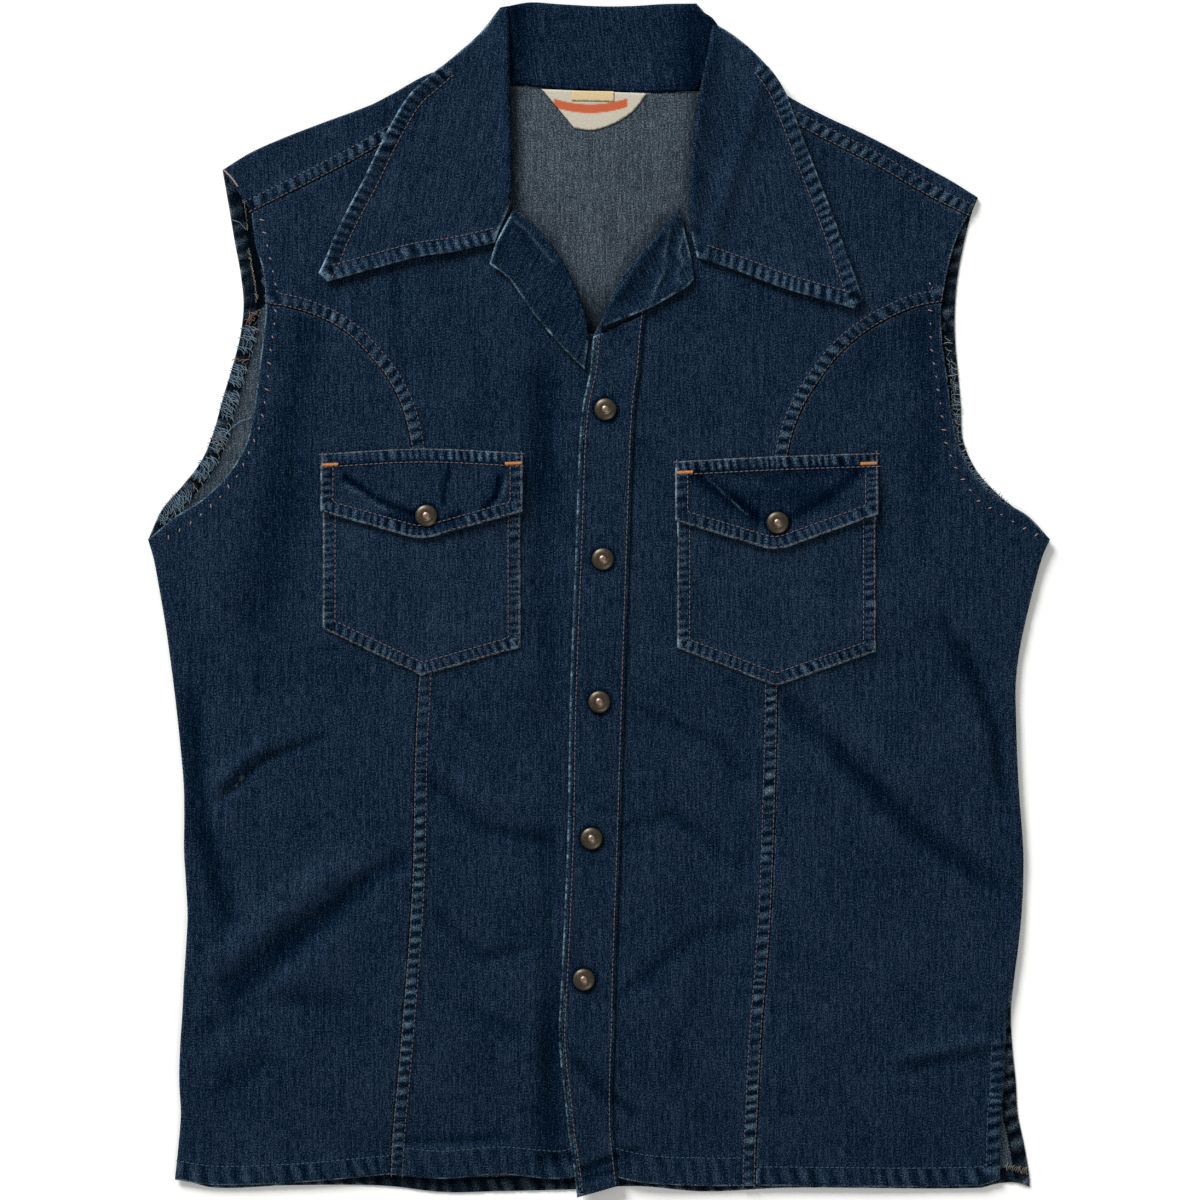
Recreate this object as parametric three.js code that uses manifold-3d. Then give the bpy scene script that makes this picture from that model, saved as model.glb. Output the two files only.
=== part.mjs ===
// A sleeveless denim vest with a long-pointed collar, snapped shut and laid flat on its back.
// Millimetres, +Z up, +X to the viewer's right, +Y towards the collar. Left and right are the viewer's.
import * as THREE from "three";
import { mergeVertices } from "three/addons/utils/BufferGeometryUtils.js";
import Module from "manifold-3d";

const wasm = await Module();
wasm.setup();

// Driving sizes
const cloth = 1.0; // one thickness of denim
const collarCloth = 1.6; // two thicknesses pressed together
const flapCloth = 1.4;
const placketCloth = 1.4;
const gap = 0.3; // between two pieces that touch
const layer = cloth + gap; // from one cloth to the next one on it
const fullLength = 694; // collar roll to the placket's lowest corner
const gridPitch = 21; // the spacing at which every cloth follows the folds
const gridOffset = { x: 5.5, y: 9.1 };
const outlinePitch = 19; // the spacing of the points along a curved edge
const seamWidth = 7.5; // a felled seam, between its two stitch rows
const seamRise = 0.7; // a felled seam above the cloth beside it
const hemWidth = 9;
const hemRise = 0.5;
const hemSpare = 5; // the hem's bar starts below the cloth and is cut off with it
const foldWidth = 1.6; // the bead of cloth that turns over at a fold
const airMost = 2.4; // the front stands this far off the back where it is loosest
const waistHalf = 243; // from the middle out to the side seams
const chestHalf = 198; // from the middle out to the armholes' narrowest place
const looseShare = 0.45; // of that half width: from here outwards the front lies down on the back
const standMiddle = 3; // the neck lies this far to the right of the middle
const rollRise = 1.2; // the collar's roll behind the neck stands this much higher
const armholeTurn = 8; // the raw armhole edge of the back is turned in this far
const clearance = 1; // a raised seam stops this far from a piece that lies across it

// Levels above the hem, from and to which one thing turns into another.
const underarm = { from: 350, to: 430 }; // the waist's width into the chest's
const shoulder = { from: 500, to: 590 }; // the room under the front closes
const hemRoom = { from: 10, to: 90, least: 0.25 }; // the share of the room that the hem keeps
const roll = { from: 655, to: 690 }; // the stand rises into the collar's roll
const standSide = { from: 15, to: 35 }; // from the middle, the stand rises to the fronts' level
const foldStart = { from: -0.25, to: 0.2 }; // shares of a fold's length
const foldStop = { from: 0.8, to: 1.25 };

// Body edges. Each row is a level above the hem's lowest point, with each edge's distance from the middle.
const bodyColumns = ["up", "left", "seamLeft", "seamRight", "right", "backRight"];
const body = table(bodyColumns, [
  [11, -245.5, -117, 87, 232.5, 250],
  [30, -243.5, -116, 87.5, 233, 247],
  [50, -242, -114.5, 88.5, 233.5, 243],
  [75, -243, -112, 89.5, 235.5, 241.5],
  [100, -241.5, -110, 91, 236, 239],
  [130, -240, -107.5, 93.5, 241, 241.4],
  [165, -238, -105, 96, 245, 245.4],
  [200, -240, -103.5, 97.5, 246, 246.4],
  [235, -240, -103, 98.5, 243.5, 243.9],
  [270, -243, -102, 99.5, 242, 242.4],
  [305, -247, -100, 100, 242, 242.4],
  [340, -252, -99, 101, 248.5, 248.9],
  [372, -258, -99, 101.5, 257, 257.4],
]);

// Armhole edges of the front and of the back, from the underarm up to the shoulder.
const armholeColumns = ["up", "frontLeft", "backLeft", "frontRight", "backRight"];
const armholes = table(armholeColumns, [
  [382, -261, -261, 261.5, 261],
  [392, -250, -257.5, 255, 252],
  [402, -233.5, -251, 236.5, 238],
  [414, -220, -240.5, 222, 226.5],
  [428, -208.5, -230, 212.5, 215],
  [445, -202, -223, 206, 210.5],
  [465, -198.5, -217.5, 203.5, 210],
  [487, -196, -211, 200.5, 207.5],
  [510, -193, -206, 198, 206.5],
  [532, -193.5, -207, 201, 208],
  [552, -198.5, -210.5, 206, 211.5],
  [573, -203, -214, 214.5, 217],
]);

// Princess seams above the waist: from the armhole in a curve down to the pocket, and on under it.
const princessColumns = ["left", "leftUp", "right", "rightUp"];
const princess = table(princessColumns, [
  [-98.5, 375, 101.5, 375],
  [-101, 405, 102, 405],
  [-104.5, 436, 106, 432],
  [-109, 456, 112, 454],
  [-117, 474, 124, 475],
  [-130, 491, 142, 497],
  [-147, 507, 164, 512],
  [-171, 518, 182, 520],
  [-197, 523, 203, 524],
]);

// Front closure: the placket's two edges and the hidden edge of the front that lies under it.
const closureColumns = ["up", "placketLeft", "placketRight", "underEdge"];
const closure = table(closureColumns, [
  [1, -11, 12, 7],
  [11, -13, 11.5, 6],
  [35, -17, 9, 3],
  [68, -20.5, 8.5, 2],
  [92, -23, 9.5, 3],
  [138, -21, 10.5, 4],
  [208, -18, 13, 6],
  [290, -16.5, 15.5, 9],
  [383, -13, 18.5, 12],
  [439, -11, 20.5, 13],
  [463, -8.5, 22, 14],
  [484, -4, 25, 16],
  [499, -3, 26, 17],
]);

const placketHead = { x: 27.5, up: 513 }; // its right corner, close below the right facing
const placketFoot = 6; // its right edge ends at the hem, above its left edge's end

// Shoulders: the fold where the back turns forward, and the seam where it meets the front.
const shoulderColumns = ["foldX", "foldUp", "seamX", "seamUp"];
const shoulderLeft = table(shoulderColumns, [
  [-218, 596, -203, 575],
  [-210, 602, -181, 586],
  [-184, 614, -159, 597],
  [-155, 625, -138, 608],
  [-124, 637, -117, 620],
  [-101, 650.5, -90, 634],
  [-78, 657, -72, 643],
]);
const shoulderRight = table(shoulderColumns, [
  [220, 580, 215.5, 573],
  [213, 585, 193, 584],
  [171, 608, 164, 601],
  [149, 619, 136, 615],
  [123, 631, 117, 625],
  [103, 643, 96, 634],
  [82, 654, 78, 642],
]);

// Neck: the seam of the back under the collar, and of the two fronts.
const neckColumns = ["x", "up"];
const backNeck = table(neckColumns, [
  [-66, 641],
  [-48, 645.5],
  [-20, 642.5],
  [28, 641],
  [58, 642],
  [74, 639],
]);
const frontNeckLeft = table(neckColumns, [
  [-66, 632],
  [-69, 612],
  [-67, 585],
  [-58, 563],
]);
const frontNeckRight = table(neckColumns, [
  [72, 630],
  [73.5, 610],
  [68, 582],
  [56, 556],
]);

// Front edges where the neck is turned out: the roll of each front, and the free edge of its facing.
const turnColumns = ["rollX", "rollUp", "freeX", "freeUp"];
const turnLeft = table(turnColumns, [
  [-49, 574, -59, 553],
  [-30, 557, -62.5, 541],
  [-19, 539, -47, 527],
  [-12, 524, -37, 512],
  [-7.5, 512, -24, 495],
  [-6, 501, -8, 481],
]);
const turnRight = table(turnColumns, [
  [46, 574, 51.5, 561],
  [42, 563, 52.5, 548],
  [28, 550, 55, 533],
  [17, 539, 39, 520],
  [9, 526, 20, 512],
  [3, 511, 4, 506],
]);

// Collar: the roll round the neck, each leaf's outer edge, and its front edge.
const collarColumns = ["x", "up"];
const rollTop = table(collarColumns, [
  [-57, 690],
  [-53, 693],
  [-34, 693],
  [-4, 691],
  [32, 691.5],
  [47, 694],
  [57, 692.5],
]);
const rollLeft = table(collarColumns, [
  [-52, 690],
  [-51, 647],
  [-50, 608],
  [-50, 582],
]);
const rollRight = table(collarColumns, [
  [66, 680],
  [61.5, 656],
  [59, 645],
  [55, 618],
  [53, 590],
  [53, 564],
]);
const leafLeftOuter = table(collarColumns, [
  [-57, 690],
  [-68, 676],
  [-80, 665],
  [-94, 653],
  [-103, 645],
  [-113, 635],
  [-121, 620],
  [-130, 603],
  [-138, 586],
  [-149, 566],
  [-159, 542],
]);
const leafLeftFront = table(collarColumns, [
  [-162, 536],
  [-157, 531],
  [-128, 539],
  [-105, 545],
  [-82, 548.5],
  [-60, 553.5],
]);
const leafLeftCorner = table(collarColumns, [
  [-57.5, 561],
  [-52, 574],
]);
const leafRightOuter = table(collarColumns, [
  [57, 692.5],
  [67, 681],
  [79, 674],
  [88, 665],
  [96, 658],
  [103, 650],
  [110, 636],
  [118, 615],
  [134, 574],
  [153, 521],
]);
const leafRightFront = table(collarColumns, [
  [147.5, 515.5],
  [131, 520],
  [104, 528],
  [78, 538],
  [57, 545],
]);
const hiddenFall = table(collarColumns, [
  [-104, 640],
  [-90, 622],
  [-60, 612],
  [0, 607],
  [60, 611],
  [90, 622],
  [104, 640],
]);

// Hems of the front and of the back, from left to right.
const hemColumns = ["x", "frontUp", "backUp"];
const hems = table(hemColumns, [
  [-244, 14, 12],
  [-226, 8, 6.5],
  [-179, 9, 7.5],
  [-121, 14, 7],
  [-90, 11.5, 3.5],
  [-59, 14, 4],
  [-17, 12, 5],
  [22, 10, 7],
  [59, 7.5, 4],
  [106, 7.5, 6],
  [222, 7.5, 6],
  [232, 9, 8.5],
]);
const backVent = table(collarColumns, [
  [242, 9],
  [250, 6.5],
]);

// Each chest pocket and its flap: sides, straight lower corners and the point in the middle.
const pockets = [
  {
    name: "left",
    x: { left: -159.5, point: -102.5, right: -45 },
    lowLeft: 330,
    pointUp: 303,
    lowRight: 319.5,
    top: 407,
    flap: { leftUp: 431.5, middleUp: 434.5, rightUp: 432, leftLow: 398, pointLow: 381.5, rightLow: 398 },
    snap: { x: -99.5, up: 395.5 },
  },
  {
    name: "right",
    x: { left: 45.5, point: 102.5, right: 160.5 },
    lowLeft: 319,
    pointUp: 297,
    lowRight: 317,
    top: 401,
    flap: { leftUp: 427, middleUp: 430, rightUp: 432, leftLow: 392.5, pointLow: 375, rightLow: 396.5 },
    snap: { x: 103.5, up: 391.5 },
  },
];
const flapOverhang = 1.2;

const placketSnaps = table(neckColumns, [
  [4, 457],
  [2.5, 370.5],
  [0.5, 288],
  [-4, 209],
  [-8.5, 127.5],
]);
const snapRadius = 6.25;
const snapSides = 14;

// Neck label, sewn in at the back neck seam.
const labelOutline = table(collarColumns, [
  [-33, 642.8],
  [28, 640.2],
  [20, 630],
  [7, 622],
  [-4, 619],
  [-14, 620],
]);

// Folds: a soft ridge, or with a height below zero a trough, from one end to the other.
const foldColumns = ["x0", "up0", "x1", "up1", "width", "height"];
const folds = table(foldColumns, [
  [-151, 264, -211, 231, 12, 1.6],
  [-230, 240, -215, 140, 16, -2.2],
  [-205, 232, -182, 150, 18, 1.8],
  [-124, 186, -206, 125, 18, -2.2],
  [-110, 215, -190, 178, 18, 1.6],
  [-195, 471, -172, 420, 13, 1.8],
  [-208, 420, -150, 350, 20, 1.6],
  [217, 290, 232, 248, 14, -2],
  [181, 222, 206, 199, 14, 2],
  [196, 440, 180, 372, 16, 1.6],
  [-30, 478, -28, 410, 14, -2],
  [-60, 380, -52, 250, 18, 1.4],
  [-36, 150, -30, 20, 14, -2],
  [-112, 24, -58, 28, 11, 2],
  [50, 250, 62, 90, 20, 1.6],
  [150, 160, 190, 60, 22, 1.6],
]);

const denimColour = "#16273a";
const insideColour = "#3e4854";
const brassColour = "#6b5a3e";
const labelColour = "#c9c0ac";

function table(columns, rows) {
  return rows.map((row) => Object.fromEntries(columns.map((column, i) => [column, row[i]])));
}

function clamp01(t) {
  return Math.min(1, Math.max(0, t));
}

function smooth(from, to, value) {
  const t = clamp01((value - from) / (to - from));
  return t * t * (3 - 2 * t);
}

// Reads one column of a table against another one, in straight stretches.
function read(rows, key, column, value) {
  const last = rows.length - 1;
  let i = 0;
  while (i < last - 1 && rows[i + 1][key] < value) i += 1;
  const t = clamp01((value - rows[i][key]) / (rows[i + 1][key] - rows[i][key]));
  return rows[i][column] + (rows[i + 1][column] - rows[i][column]) * t;
}

function points(rows, x = "x", up = "up") {
  return rows.map((row) => new THREE.Vector2(row[x], row[up]));
}

// A smooth edge through the points, with a point every few millimetres.
function curve(through) {
  const spline = new THREE.SplineCurve(through);
  return spline.getSpacedPoints(Math.max(2, Math.round(spline.getLength() / outlinePitch)));
}

function shift(line, dx, dy) {
  return line.map((p) => new THREE.Vector2(p.x + dx, p.y + dy));
}

function backwards(line) {
  return [...line].reverse();
}

// The line moved to its left by a distance, seen along its own direction.
function beside(line, distance) {
  return line.map((p, i) => {
    const along = new THREE.Vector2()
      .subVectors(line[Math.min(i + 1, line.length - 1)], line[Math.max(i - 1, 0)])
      .normalize();
    return new THREE.Vector2(p.x - along.y * distance, p.y + along.x * distance);
  });
}

// A closed outline of lines that follow each other, without points that all but coincide.
const closest = 0.4;
function outline(...lines) {
  const kept = [];
  for (const p of lines.flat()) {
    if (!kept.length || kept[kept.length - 1].distanceTo(p) > closest) kept.push(p);
  }
  while (kept[0].distanceTo(kept[kept.length - 1]) < closest) kept.pop();
  return kept;
}

// A closed outline moved outwards by a distance.
function grown(edge, distance) {
  const turn = THREE.ShapeUtils.isClockWise(edge) ? distance : -distance;
  return edge.map((p, i) => {
    const along = new THREE.Vector2()
      .subVectors(edge[(i + 1) % edge.length], edge[(i + edge.length - 1) % edge.length])
      .normalize();
    return new THREE.Vector2(p.x - along.y * turn, p.y + along.x * turn);
  });
}

// The strip between two lines that run the same way.
function strip(one, other) {
  return outline(one, backwards(other));
}

function solid(geometry) {
  const bare = geometry.index ? geometry.toNonIndexed() : geometry.clone();
  for (const name of ["normal", "uv"]) bare.deleteAttribute(name);
  const merged = mergeVertices(bare, 1e-4);
  return new wasm.Manifold(
    new wasm.Mesh({
      numProp: 3,
      vertProperties: new Float32Array(merged.attributes.position.array),
      triVerts: new Uint32Array(merged.index.array),
    }),
  );
}

const wallTop = 40;
const wallFoot = -10;

// Everything above and below an outline.
function prism(edge) {
  const geometry = new THREE.ExtrudeGeometry(new THREE.Shape(edge), {
    depth: wallTop - wallFoot,
    bevelEnabled: false,
    steps: 1,
  });
  return solid(geometry.translate(0, 0, wallFoot));
}

// A cloth over the outline's box, on the grid that all cloths share, between two heights.
function sheet(edge, bottom, top) {
  const box = new THREE.Box2().setFromPoints(edge);
  const first = {
    i: Math.floor((box.min.x - gridOffset.x) / gridPitch),
    j: Math.floor((box.min.y - gridOffset.y) / gridPitch),
  };
  const columns = Math.ceil((box.max.x - gridOffset.x) / gridPitch) - first.i + 1;
  const rows = Math.ceil((box.max.y - gridOffset.y) / gridPitch) - first.j + 1;
  const corner = [];
  for (const height of [bottom, top]) {
    for (let j = 0; j < rows; j += 1) {
      for (let i = 0; i < columns; i += 1) {
        const x = (first.i + i) * gridPitch + gridOffset.x;
        const y = (first.j + j) * gridPitch + gridOffset.y;
        corner.push([x, y, height(x, y)]);
      }
    }
  }
  const at = (level, i, j) => corner[level * rows * columns + j * columns + i];
  const faces = [];
  const quad = (a, b, c, d) => faces.push(a, b, c, a, c, d);
  for (let j = 0; j < rows - 1; j += 1) {
    for (let i = 0; i < columns - 1; i += 1) {
      quad(at(1, i, j), at(1, i + 1, j), at(1, i + 1, j + 1), at(1, i, j + 1));
      faces.push(at(0, i, j), at(0, i + 1, j + 1), at(0, i + 1, j));
      faces.push(at(0, i, j), at(0, i, j + 1), at(0, i + 1, j + 1));
    }
  }
  for (let i = 0; i < columns - 1; i += 1) {
    const far = rows - 1;
    quad(at(0, i, 0), at(0, i + 1, 0), at(1, i + 1, 0), at(1, i, 0));
    quad(at(0, i + 1, far), at(0, i, far), at(1, i, far), at(1, i + 1, far));
  }
  for (let j = 0; j < rows - 1; j += 1) {
    const far = columns - 1;
    quad(at(0, 0, j + 1), at(0, 0, j), at(1, 0, j), at(1, 0, j + 1));
    quad(at(0, far, j), at(0, far, j + 1), at(1, far, j + 1), at(1, far, j));
  }
  const geometry = new THREE.BufferGeometry();
  geometry.setAttribute("position", new THREE.BufferAttribute(new Float32Array(faces.flat()), 3));
  return solid(geometry);
}

function cut(edge, bottom, top) {
  return sheet(edge, bottom, top).intersect(prism(edge));
}

function raised(height, rise) {
  return (x, y) => height(x, y) + rise;
}

// Heights, each a function of the place on the floor

// The back rests on the floor and rises over the collar's fall, which is folded under the neck.
const fallCentre = { x: 0, up: 652 };
const fallReach = { x: 140, up: 68 };
const fallFade = { from: 1, to: 2.4 }; // squares of the distance from its centre, in reaches
const flatUpTo = 540; // below this level the back lies flat
function backBottom(x, y) {
  const reach = ((x - fallCentre.x) / fallReach.x) ** 2 + ((y - fallCentre.up) / fallReach.up) ** 2;
  return (collarCloth + gap) * (1 - smooth(fallFade.from, fallFade.to, reach));
}

const foldRoom = 0.35; // folds have their whole height where the front is looser than this
const foldAtSides = 0.2; // and keep a part of it right out to the sides

function foldHeight(x, y) {
  let height = 0;
  for (const fold of folds) {
    const along = { x: fold.x1 - fold.x0, y: fold.up1 - fold.up0 };
    const length = Math.hypot(along.x, along.y);
    const t = ((x - fold.x0) * along.x + (y - fold.up0) * along.y) / length ** 2;
    const across = ((x - fold.x0) * along.y - (y - fold.up0) * along.x) / length;
    const ends = smooth(foldStart.from, foldStart.to, t) * (1 - smooth(foldStop.from, foldStop.to, t));
    height += fold.height * ends * Math.exp(-((across / fold.width) ** 2));
  }
  return height;
}

// The room between the back and the front: none at the sides and shoulders, most down the middle.
function air(x, y) {
  const halfWidth = waistHalf + (chestHalf - waistHalf) * smooth(underarm.from, underarm.to, y);
  const sides = 1 - smooth(looseShare, 1, Math.abs(x) / halfWidth);
  const shoulders = 1 - smooth(shoulder.from, shoulder.to, y);
  const hem = hemRoom.least + (1 - hemRoom.least) * smooth(hemRoom.from, hemRoom.to, y);
  const folded = foldHeight(x, y) * smooth(0, foldRoom, sides + foldAtSides);
  return Math.max(0, (airMost * sides + folded) * shoulders * hem);
}

function frontBottom(x, y) {
  return backBottom(x, y) + cloth + gap + air(x, y);
}

// The right front steps up over the edge of the left front, which lies under the placket.
function rightFrontBottom(x, y) {
  const edge = read(closure, "up", "underEdge", y);
  return frontBottom(x, y) + layer * (1 - smooth(edge + gridPitch, edge + 3 * gridPitch, x));
}

function frontTopAt(side) {
  return raised(side < 0 ? frontBottom : rightFrontBottom, cloth);
}

// The collar's stand rises from the back's level in the middle to the fronts' level at each side.
function standBottom(x, y) {
  const side = smooth(standSide.from, standSide.to, Math.abs(x - standMiddle));
  const rolled = rollRise * smooth(roll.from, roll.to, y);
  return backBottom(x, y) + (layer + air(x, y)) * side + rolled * (1 - side);
}

const parts = new THREE.Group();

function addPiece(name, made, colour = denimColour, roughness = 0.92, metalness = 0) {
  const mesh = made.getMesh();
  const geometry = new THREE.BufferGeometry();
  geometry.setAttribute("position", new THREE.BufferAttribute(mesh.vertProperties, 3));
  geometry.setIndex(new THREE.BufferAttribute(mesh.triVerts, 1));
  const material = new THREE.MeshStandardMaterial({ color: colour, roughness, metalness });
  const piece = new THREE.Mesh(geometry, material);
  piece.name = name;
  parts.add(piece);
}

// Lines that more than one piece shares

const half = gap / 2;
const lines = {
  sideLeft: curve(points(body, "left")),
  sideRight: curve(points(body, "right")),
  sideRightBack: curve(points(body, "backRight")),
  armholeFrontLeft: curve(points(armholes, "frontLeft")),
  armholeFrontRight: curve(points(armholes, "frontRight")),
  armholeBackLeft: curve(points(armholes, "backLeft")),
  armholeBackRight: curve(points(armholes, "backRight")),
  seamLeft: curve([...points(body, "seamLeft"), ...points(princess.slice(1), "left", "leftUp")]),
  seamRight: curve([...points(body, "seamRight"), ...points(princess.slice(1), "right", "rightUp")]),
  shoulderSeamLeft: curve(points(shoulderLeft, "seamX", "seamUp")),
  shoulderSeamRight: curve(points(shoulderRight, "seamX", "seamUp")),
  shoulderFoldLeft: curve(points(shoulderLeft, "foldX", "foldUp")),
  shoulderFoldRight: curve(points(shoulderRight, "foldX", "foldUp")),
  neckLeft: curve(points(frontNeckLeft)),
  neckRight: curve(points(frontNeckRight)),
  turnLeft: curve(points(turnLeft, "rollX", "rollUp")),
  turnRight: curve(points(turnRight, "rollX", "rollUp")),
  placketLeft: curve(points(closure, "placketLeft")),
  placketRight: curve(points(closure, "placketRight")),
  underEdge: curve(points(closure, "underEdge")),
  rollTop: curve(points(rollTop)),
  rollLeft: curve(points(rollLeft)),
  rollRight: curve(points(rollRight)),
  backNeck: curve(points(backNeck)),
  hiddenFall: curve(points(hiddenFall)),
  frontHem: points(hems, "x", "frontUp"),
  backHem: points(hems, "x", "backUp"),
};

function above(line, up) {
  return line.filter((p) => p.y > up);
}

function below(line, up) {
  return line.filter((p) => p.y < up);
}

function between(line, from, to) {
  return line.filter((p) => p.x > from && p.x < to);
}

// Each front's whole outline, from the hem's outer corner round to the front edge
// The hem stops short of the other edges.
const hemCorner = { left: -240, underUp: 12, placketUp: 5, right: 230 };
const shoulderShort = 2; // the armhole's edge stops this far below the shoulder seam
const frontShoulderLeft = beside(lines.shoulderSeamLeft, -(seamWidth / 2 + gap));
const frontShoulderRight = beside(lines.shoulderSeamRight, seamWidth / 2 + gap);
const leftFront = outline(
  lines.sideLeft,
  below(lines.armholeFrontLeft, frontShoulderLeft[0].y - shoulderShort),
  frontShoulderLeft,
  lines.neckLeft,
  lines.turnLeft,
  backwards(above(lines.underEdge, hemCorner.underUp)),
  backwards(between(lines.frontHem, hemCorner.left, 0)),
);
const rightFront = outline(
  lines.sideRight,
  below(lines.armholeFrontRight, frontShoulderRight[0].y - shoulderShort),
  frontShoulderRight,
  lines.neckRight,
  lines.turnRight,
  backwards(above(lines.placketLeft, hemCorner.placketUp)),
  between(lines.frontHem, 0, hemCorner.right),
);
const placket = outline(
  lines.placketLeft,
  [new THREE.Vector2(placketHead.x, placketHead.up)],
  backwards(above(lines.placketRight, placketFoot)),
);
const leafLeft = outline(
  lines.rollLeft,
  backwards(points(leafLeftCorner)),
  backwards(points(leafLeftFront)),
  backwards(curve(points(leafLeftOuter))),
);
const leafRight = outline(
  lines.rollRight,
  backwards(points(leafRightFront)),
  backwards(curve(points(leafRightOuter.slice(1)))),
);
const back = outline(
  lines.sideLeft,
  lines.armholeBackLeft,
  lines.shoulderFoldLeft,
  shift(lines.backNeck, 0, -half),
  backwards(lines.shoulderFoldRight),
  backwards(lines.armholeBackRight),
  backwards(lines.sideRightBack),
  backwards(points(backVent)),
  backwards(lines.backHem),
);

function pocketEdge(pocket) {
  return points([
    { x: pocket.x.left, up: pocket.top },
    { x: pocket.x.left, up: pocket.lowLeft },
    { x: pocket.x.point, up: pocket.pointUp },
    { x: pocket.x.right, up: pocket.lowRight },
    { x: pocket.x.right, up: pocket.top },
  ]);
}

function flapEdge({ x, flap }) {
  return points([
    { x: x.left - flapOverhang, up: flap.leftUp },
    { x: x.left - flapOverhang, up: flap.leftLow },
    { x: x.point, up: flap.pointLow },
    { x: x.right + flapOverhang, up: flap.rightLow },
    { x: x.right + flapOverhang, up: flap.rightUp },
    { x: x.point, up: flap.middleUp },
  ]);
}

const lyingAcross = [placket, leafLeft, leafRight, ...pockets.map(pocketEdge), ...pockets.map(flapEdge)];

// A raised bar of doubled cloth on a panel, kept inside the panel and clear of what lies across it.
function raisedBar(edge, panel, top, rise, clearOf = lyingAcross) {
  let bar = cut(edge, raised(top, -cloth / 2), raised(top, rise)).intersect(prism(panel));
  for (const piece of clearOf) bar = bar.subtract(prism(grown(piece, clearance)));
  return bar;
}

// Everything on one side of a line that runs up the body.
const beyond = { x: 400, below: -60, onward: 30 }; // past every edge of the vest
function region(line, towards) {
  const far = beyond.x * towards;
  const low = line[0];
  const high = line[line.length - 1];
  const onward = new THREE.Vector2().subVectors(high, line[line.length - 2]).setLength(beyond.onward);
  return prism([
    new THREE.Vector2(far, beyond.below),
    new THREE.Vector2(low.x, beyond.below),
    ...line,
    new THREE.Vector2(high.x + onward.x, high.y + onward.y),
    new THREE.Vector2(far, high.y + onward.y),
  ]);
}

function makeFront(side) {
  const word = side < 0 ? "left" : "right";
  const whole = side < 0 ? leftFront : rightFront;
  const seam = side < 0 ? lines.seamLeft : lines.seamRight;
  const top = frontTopAt(side);
  const panel = cut(whole, raised(top, -cloth), top);
  const covers = side < 0 ? [...lyingAcross, rightFront] : lyingAcross;
  const hemBand = strip(shift(lines.frontHem, 0, -hemSpare), shift(lines.frontHem, 0, hemWidth));
  const hem = raisedBar(hemBand, whole, top, hemRise, covers);
  const felled = strip(beside(seam, seamWidth / 2), beside(seam, -seamWidth / 2));
  const clothWithHem = panel.add(hem);
  const outer = clothWithHem.intersect(region(beside(seam, -side * (seamWidth / 2 + gap)), side));
  const inner = clothWithHem.subtract(region(beside(seam, -side * (seamWidth / 2)), side));
  addPiece(`front_side_${word}`, outer);
  addPiece(`front_centre_${word}`, inner.add(raisedBar(felled, whole, top, seamRise)));
}

function makeBack() {
  const top = raised(backBottom, cloth);
  const flat = new THREE.BoxGeometry(2 * fullLength, 2 * flatUpTo, cloth).translate(0, 0, cloth / 2);
  const aboveFlat = new THREE.BoxGeometry(2 * fullLength, fullLength, 4 * wallTop);
  aboveFlat.translate(0, flatUpTo + fullLength / 2, 0);
  let made = prism(back).intersect(solid(flat));
  made = made.add(cut(back, backBottom, top).intersect(solid(aboveFlat)));
  for (const side of [-1, 1]) {
    const word = side < 0 ? "Left" : "Right";
    const fold = lines[`shoulderFold${word}`];
    const seam = lines[`shoulderSeam${word}`];
    const edge = strip(fold, beside(seam, side * (seamWidth / 2)));
    const turned = raised(frontBottom, cloth);
    const foldBar = strip(fold, beside(fold, side * foldWidth));
    const felled = strip(beside(seam, seamWidth / 2), beside(seam, -seamWidth / 2));
    made = made.add(cut(edge, frontBottom, turned));
    made = made.add(cut(foldBar, backBottom, turned).intersect(prism(edge)));
    made = made.add(raisedBar(felled, edge, turned, seamRise));
    const armhole = lines[`armholeBack${word}`];
    const front = side < 0 ? leftFront : rightFront;
    const turnIn = strip(armhole, beside(armhole, side * armholeTurn));
    made = made.add(raisedBar(turnIn, back, top, seamRise, [front, edge]));
  }
  addPiece("back", made, insideColour);
}

// Where the collar's parts meet its edges: levels above the hem, and distances from the middle.
const fallUp = { left: 646, right: 651 };
const band = { leftUp: 650, rightUp: 646, left: -47, right: 56 };
const wrapUp = 657;
const standUp = { neck: 585, roll: 580 };
const standCornersLeft = table(collarColumns, [
  [-65, 660],
  [-60, 684],
]);
const standCornersRight = table(collarColumns, [
  [71, 655],
  [69, 674],
]);

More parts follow.
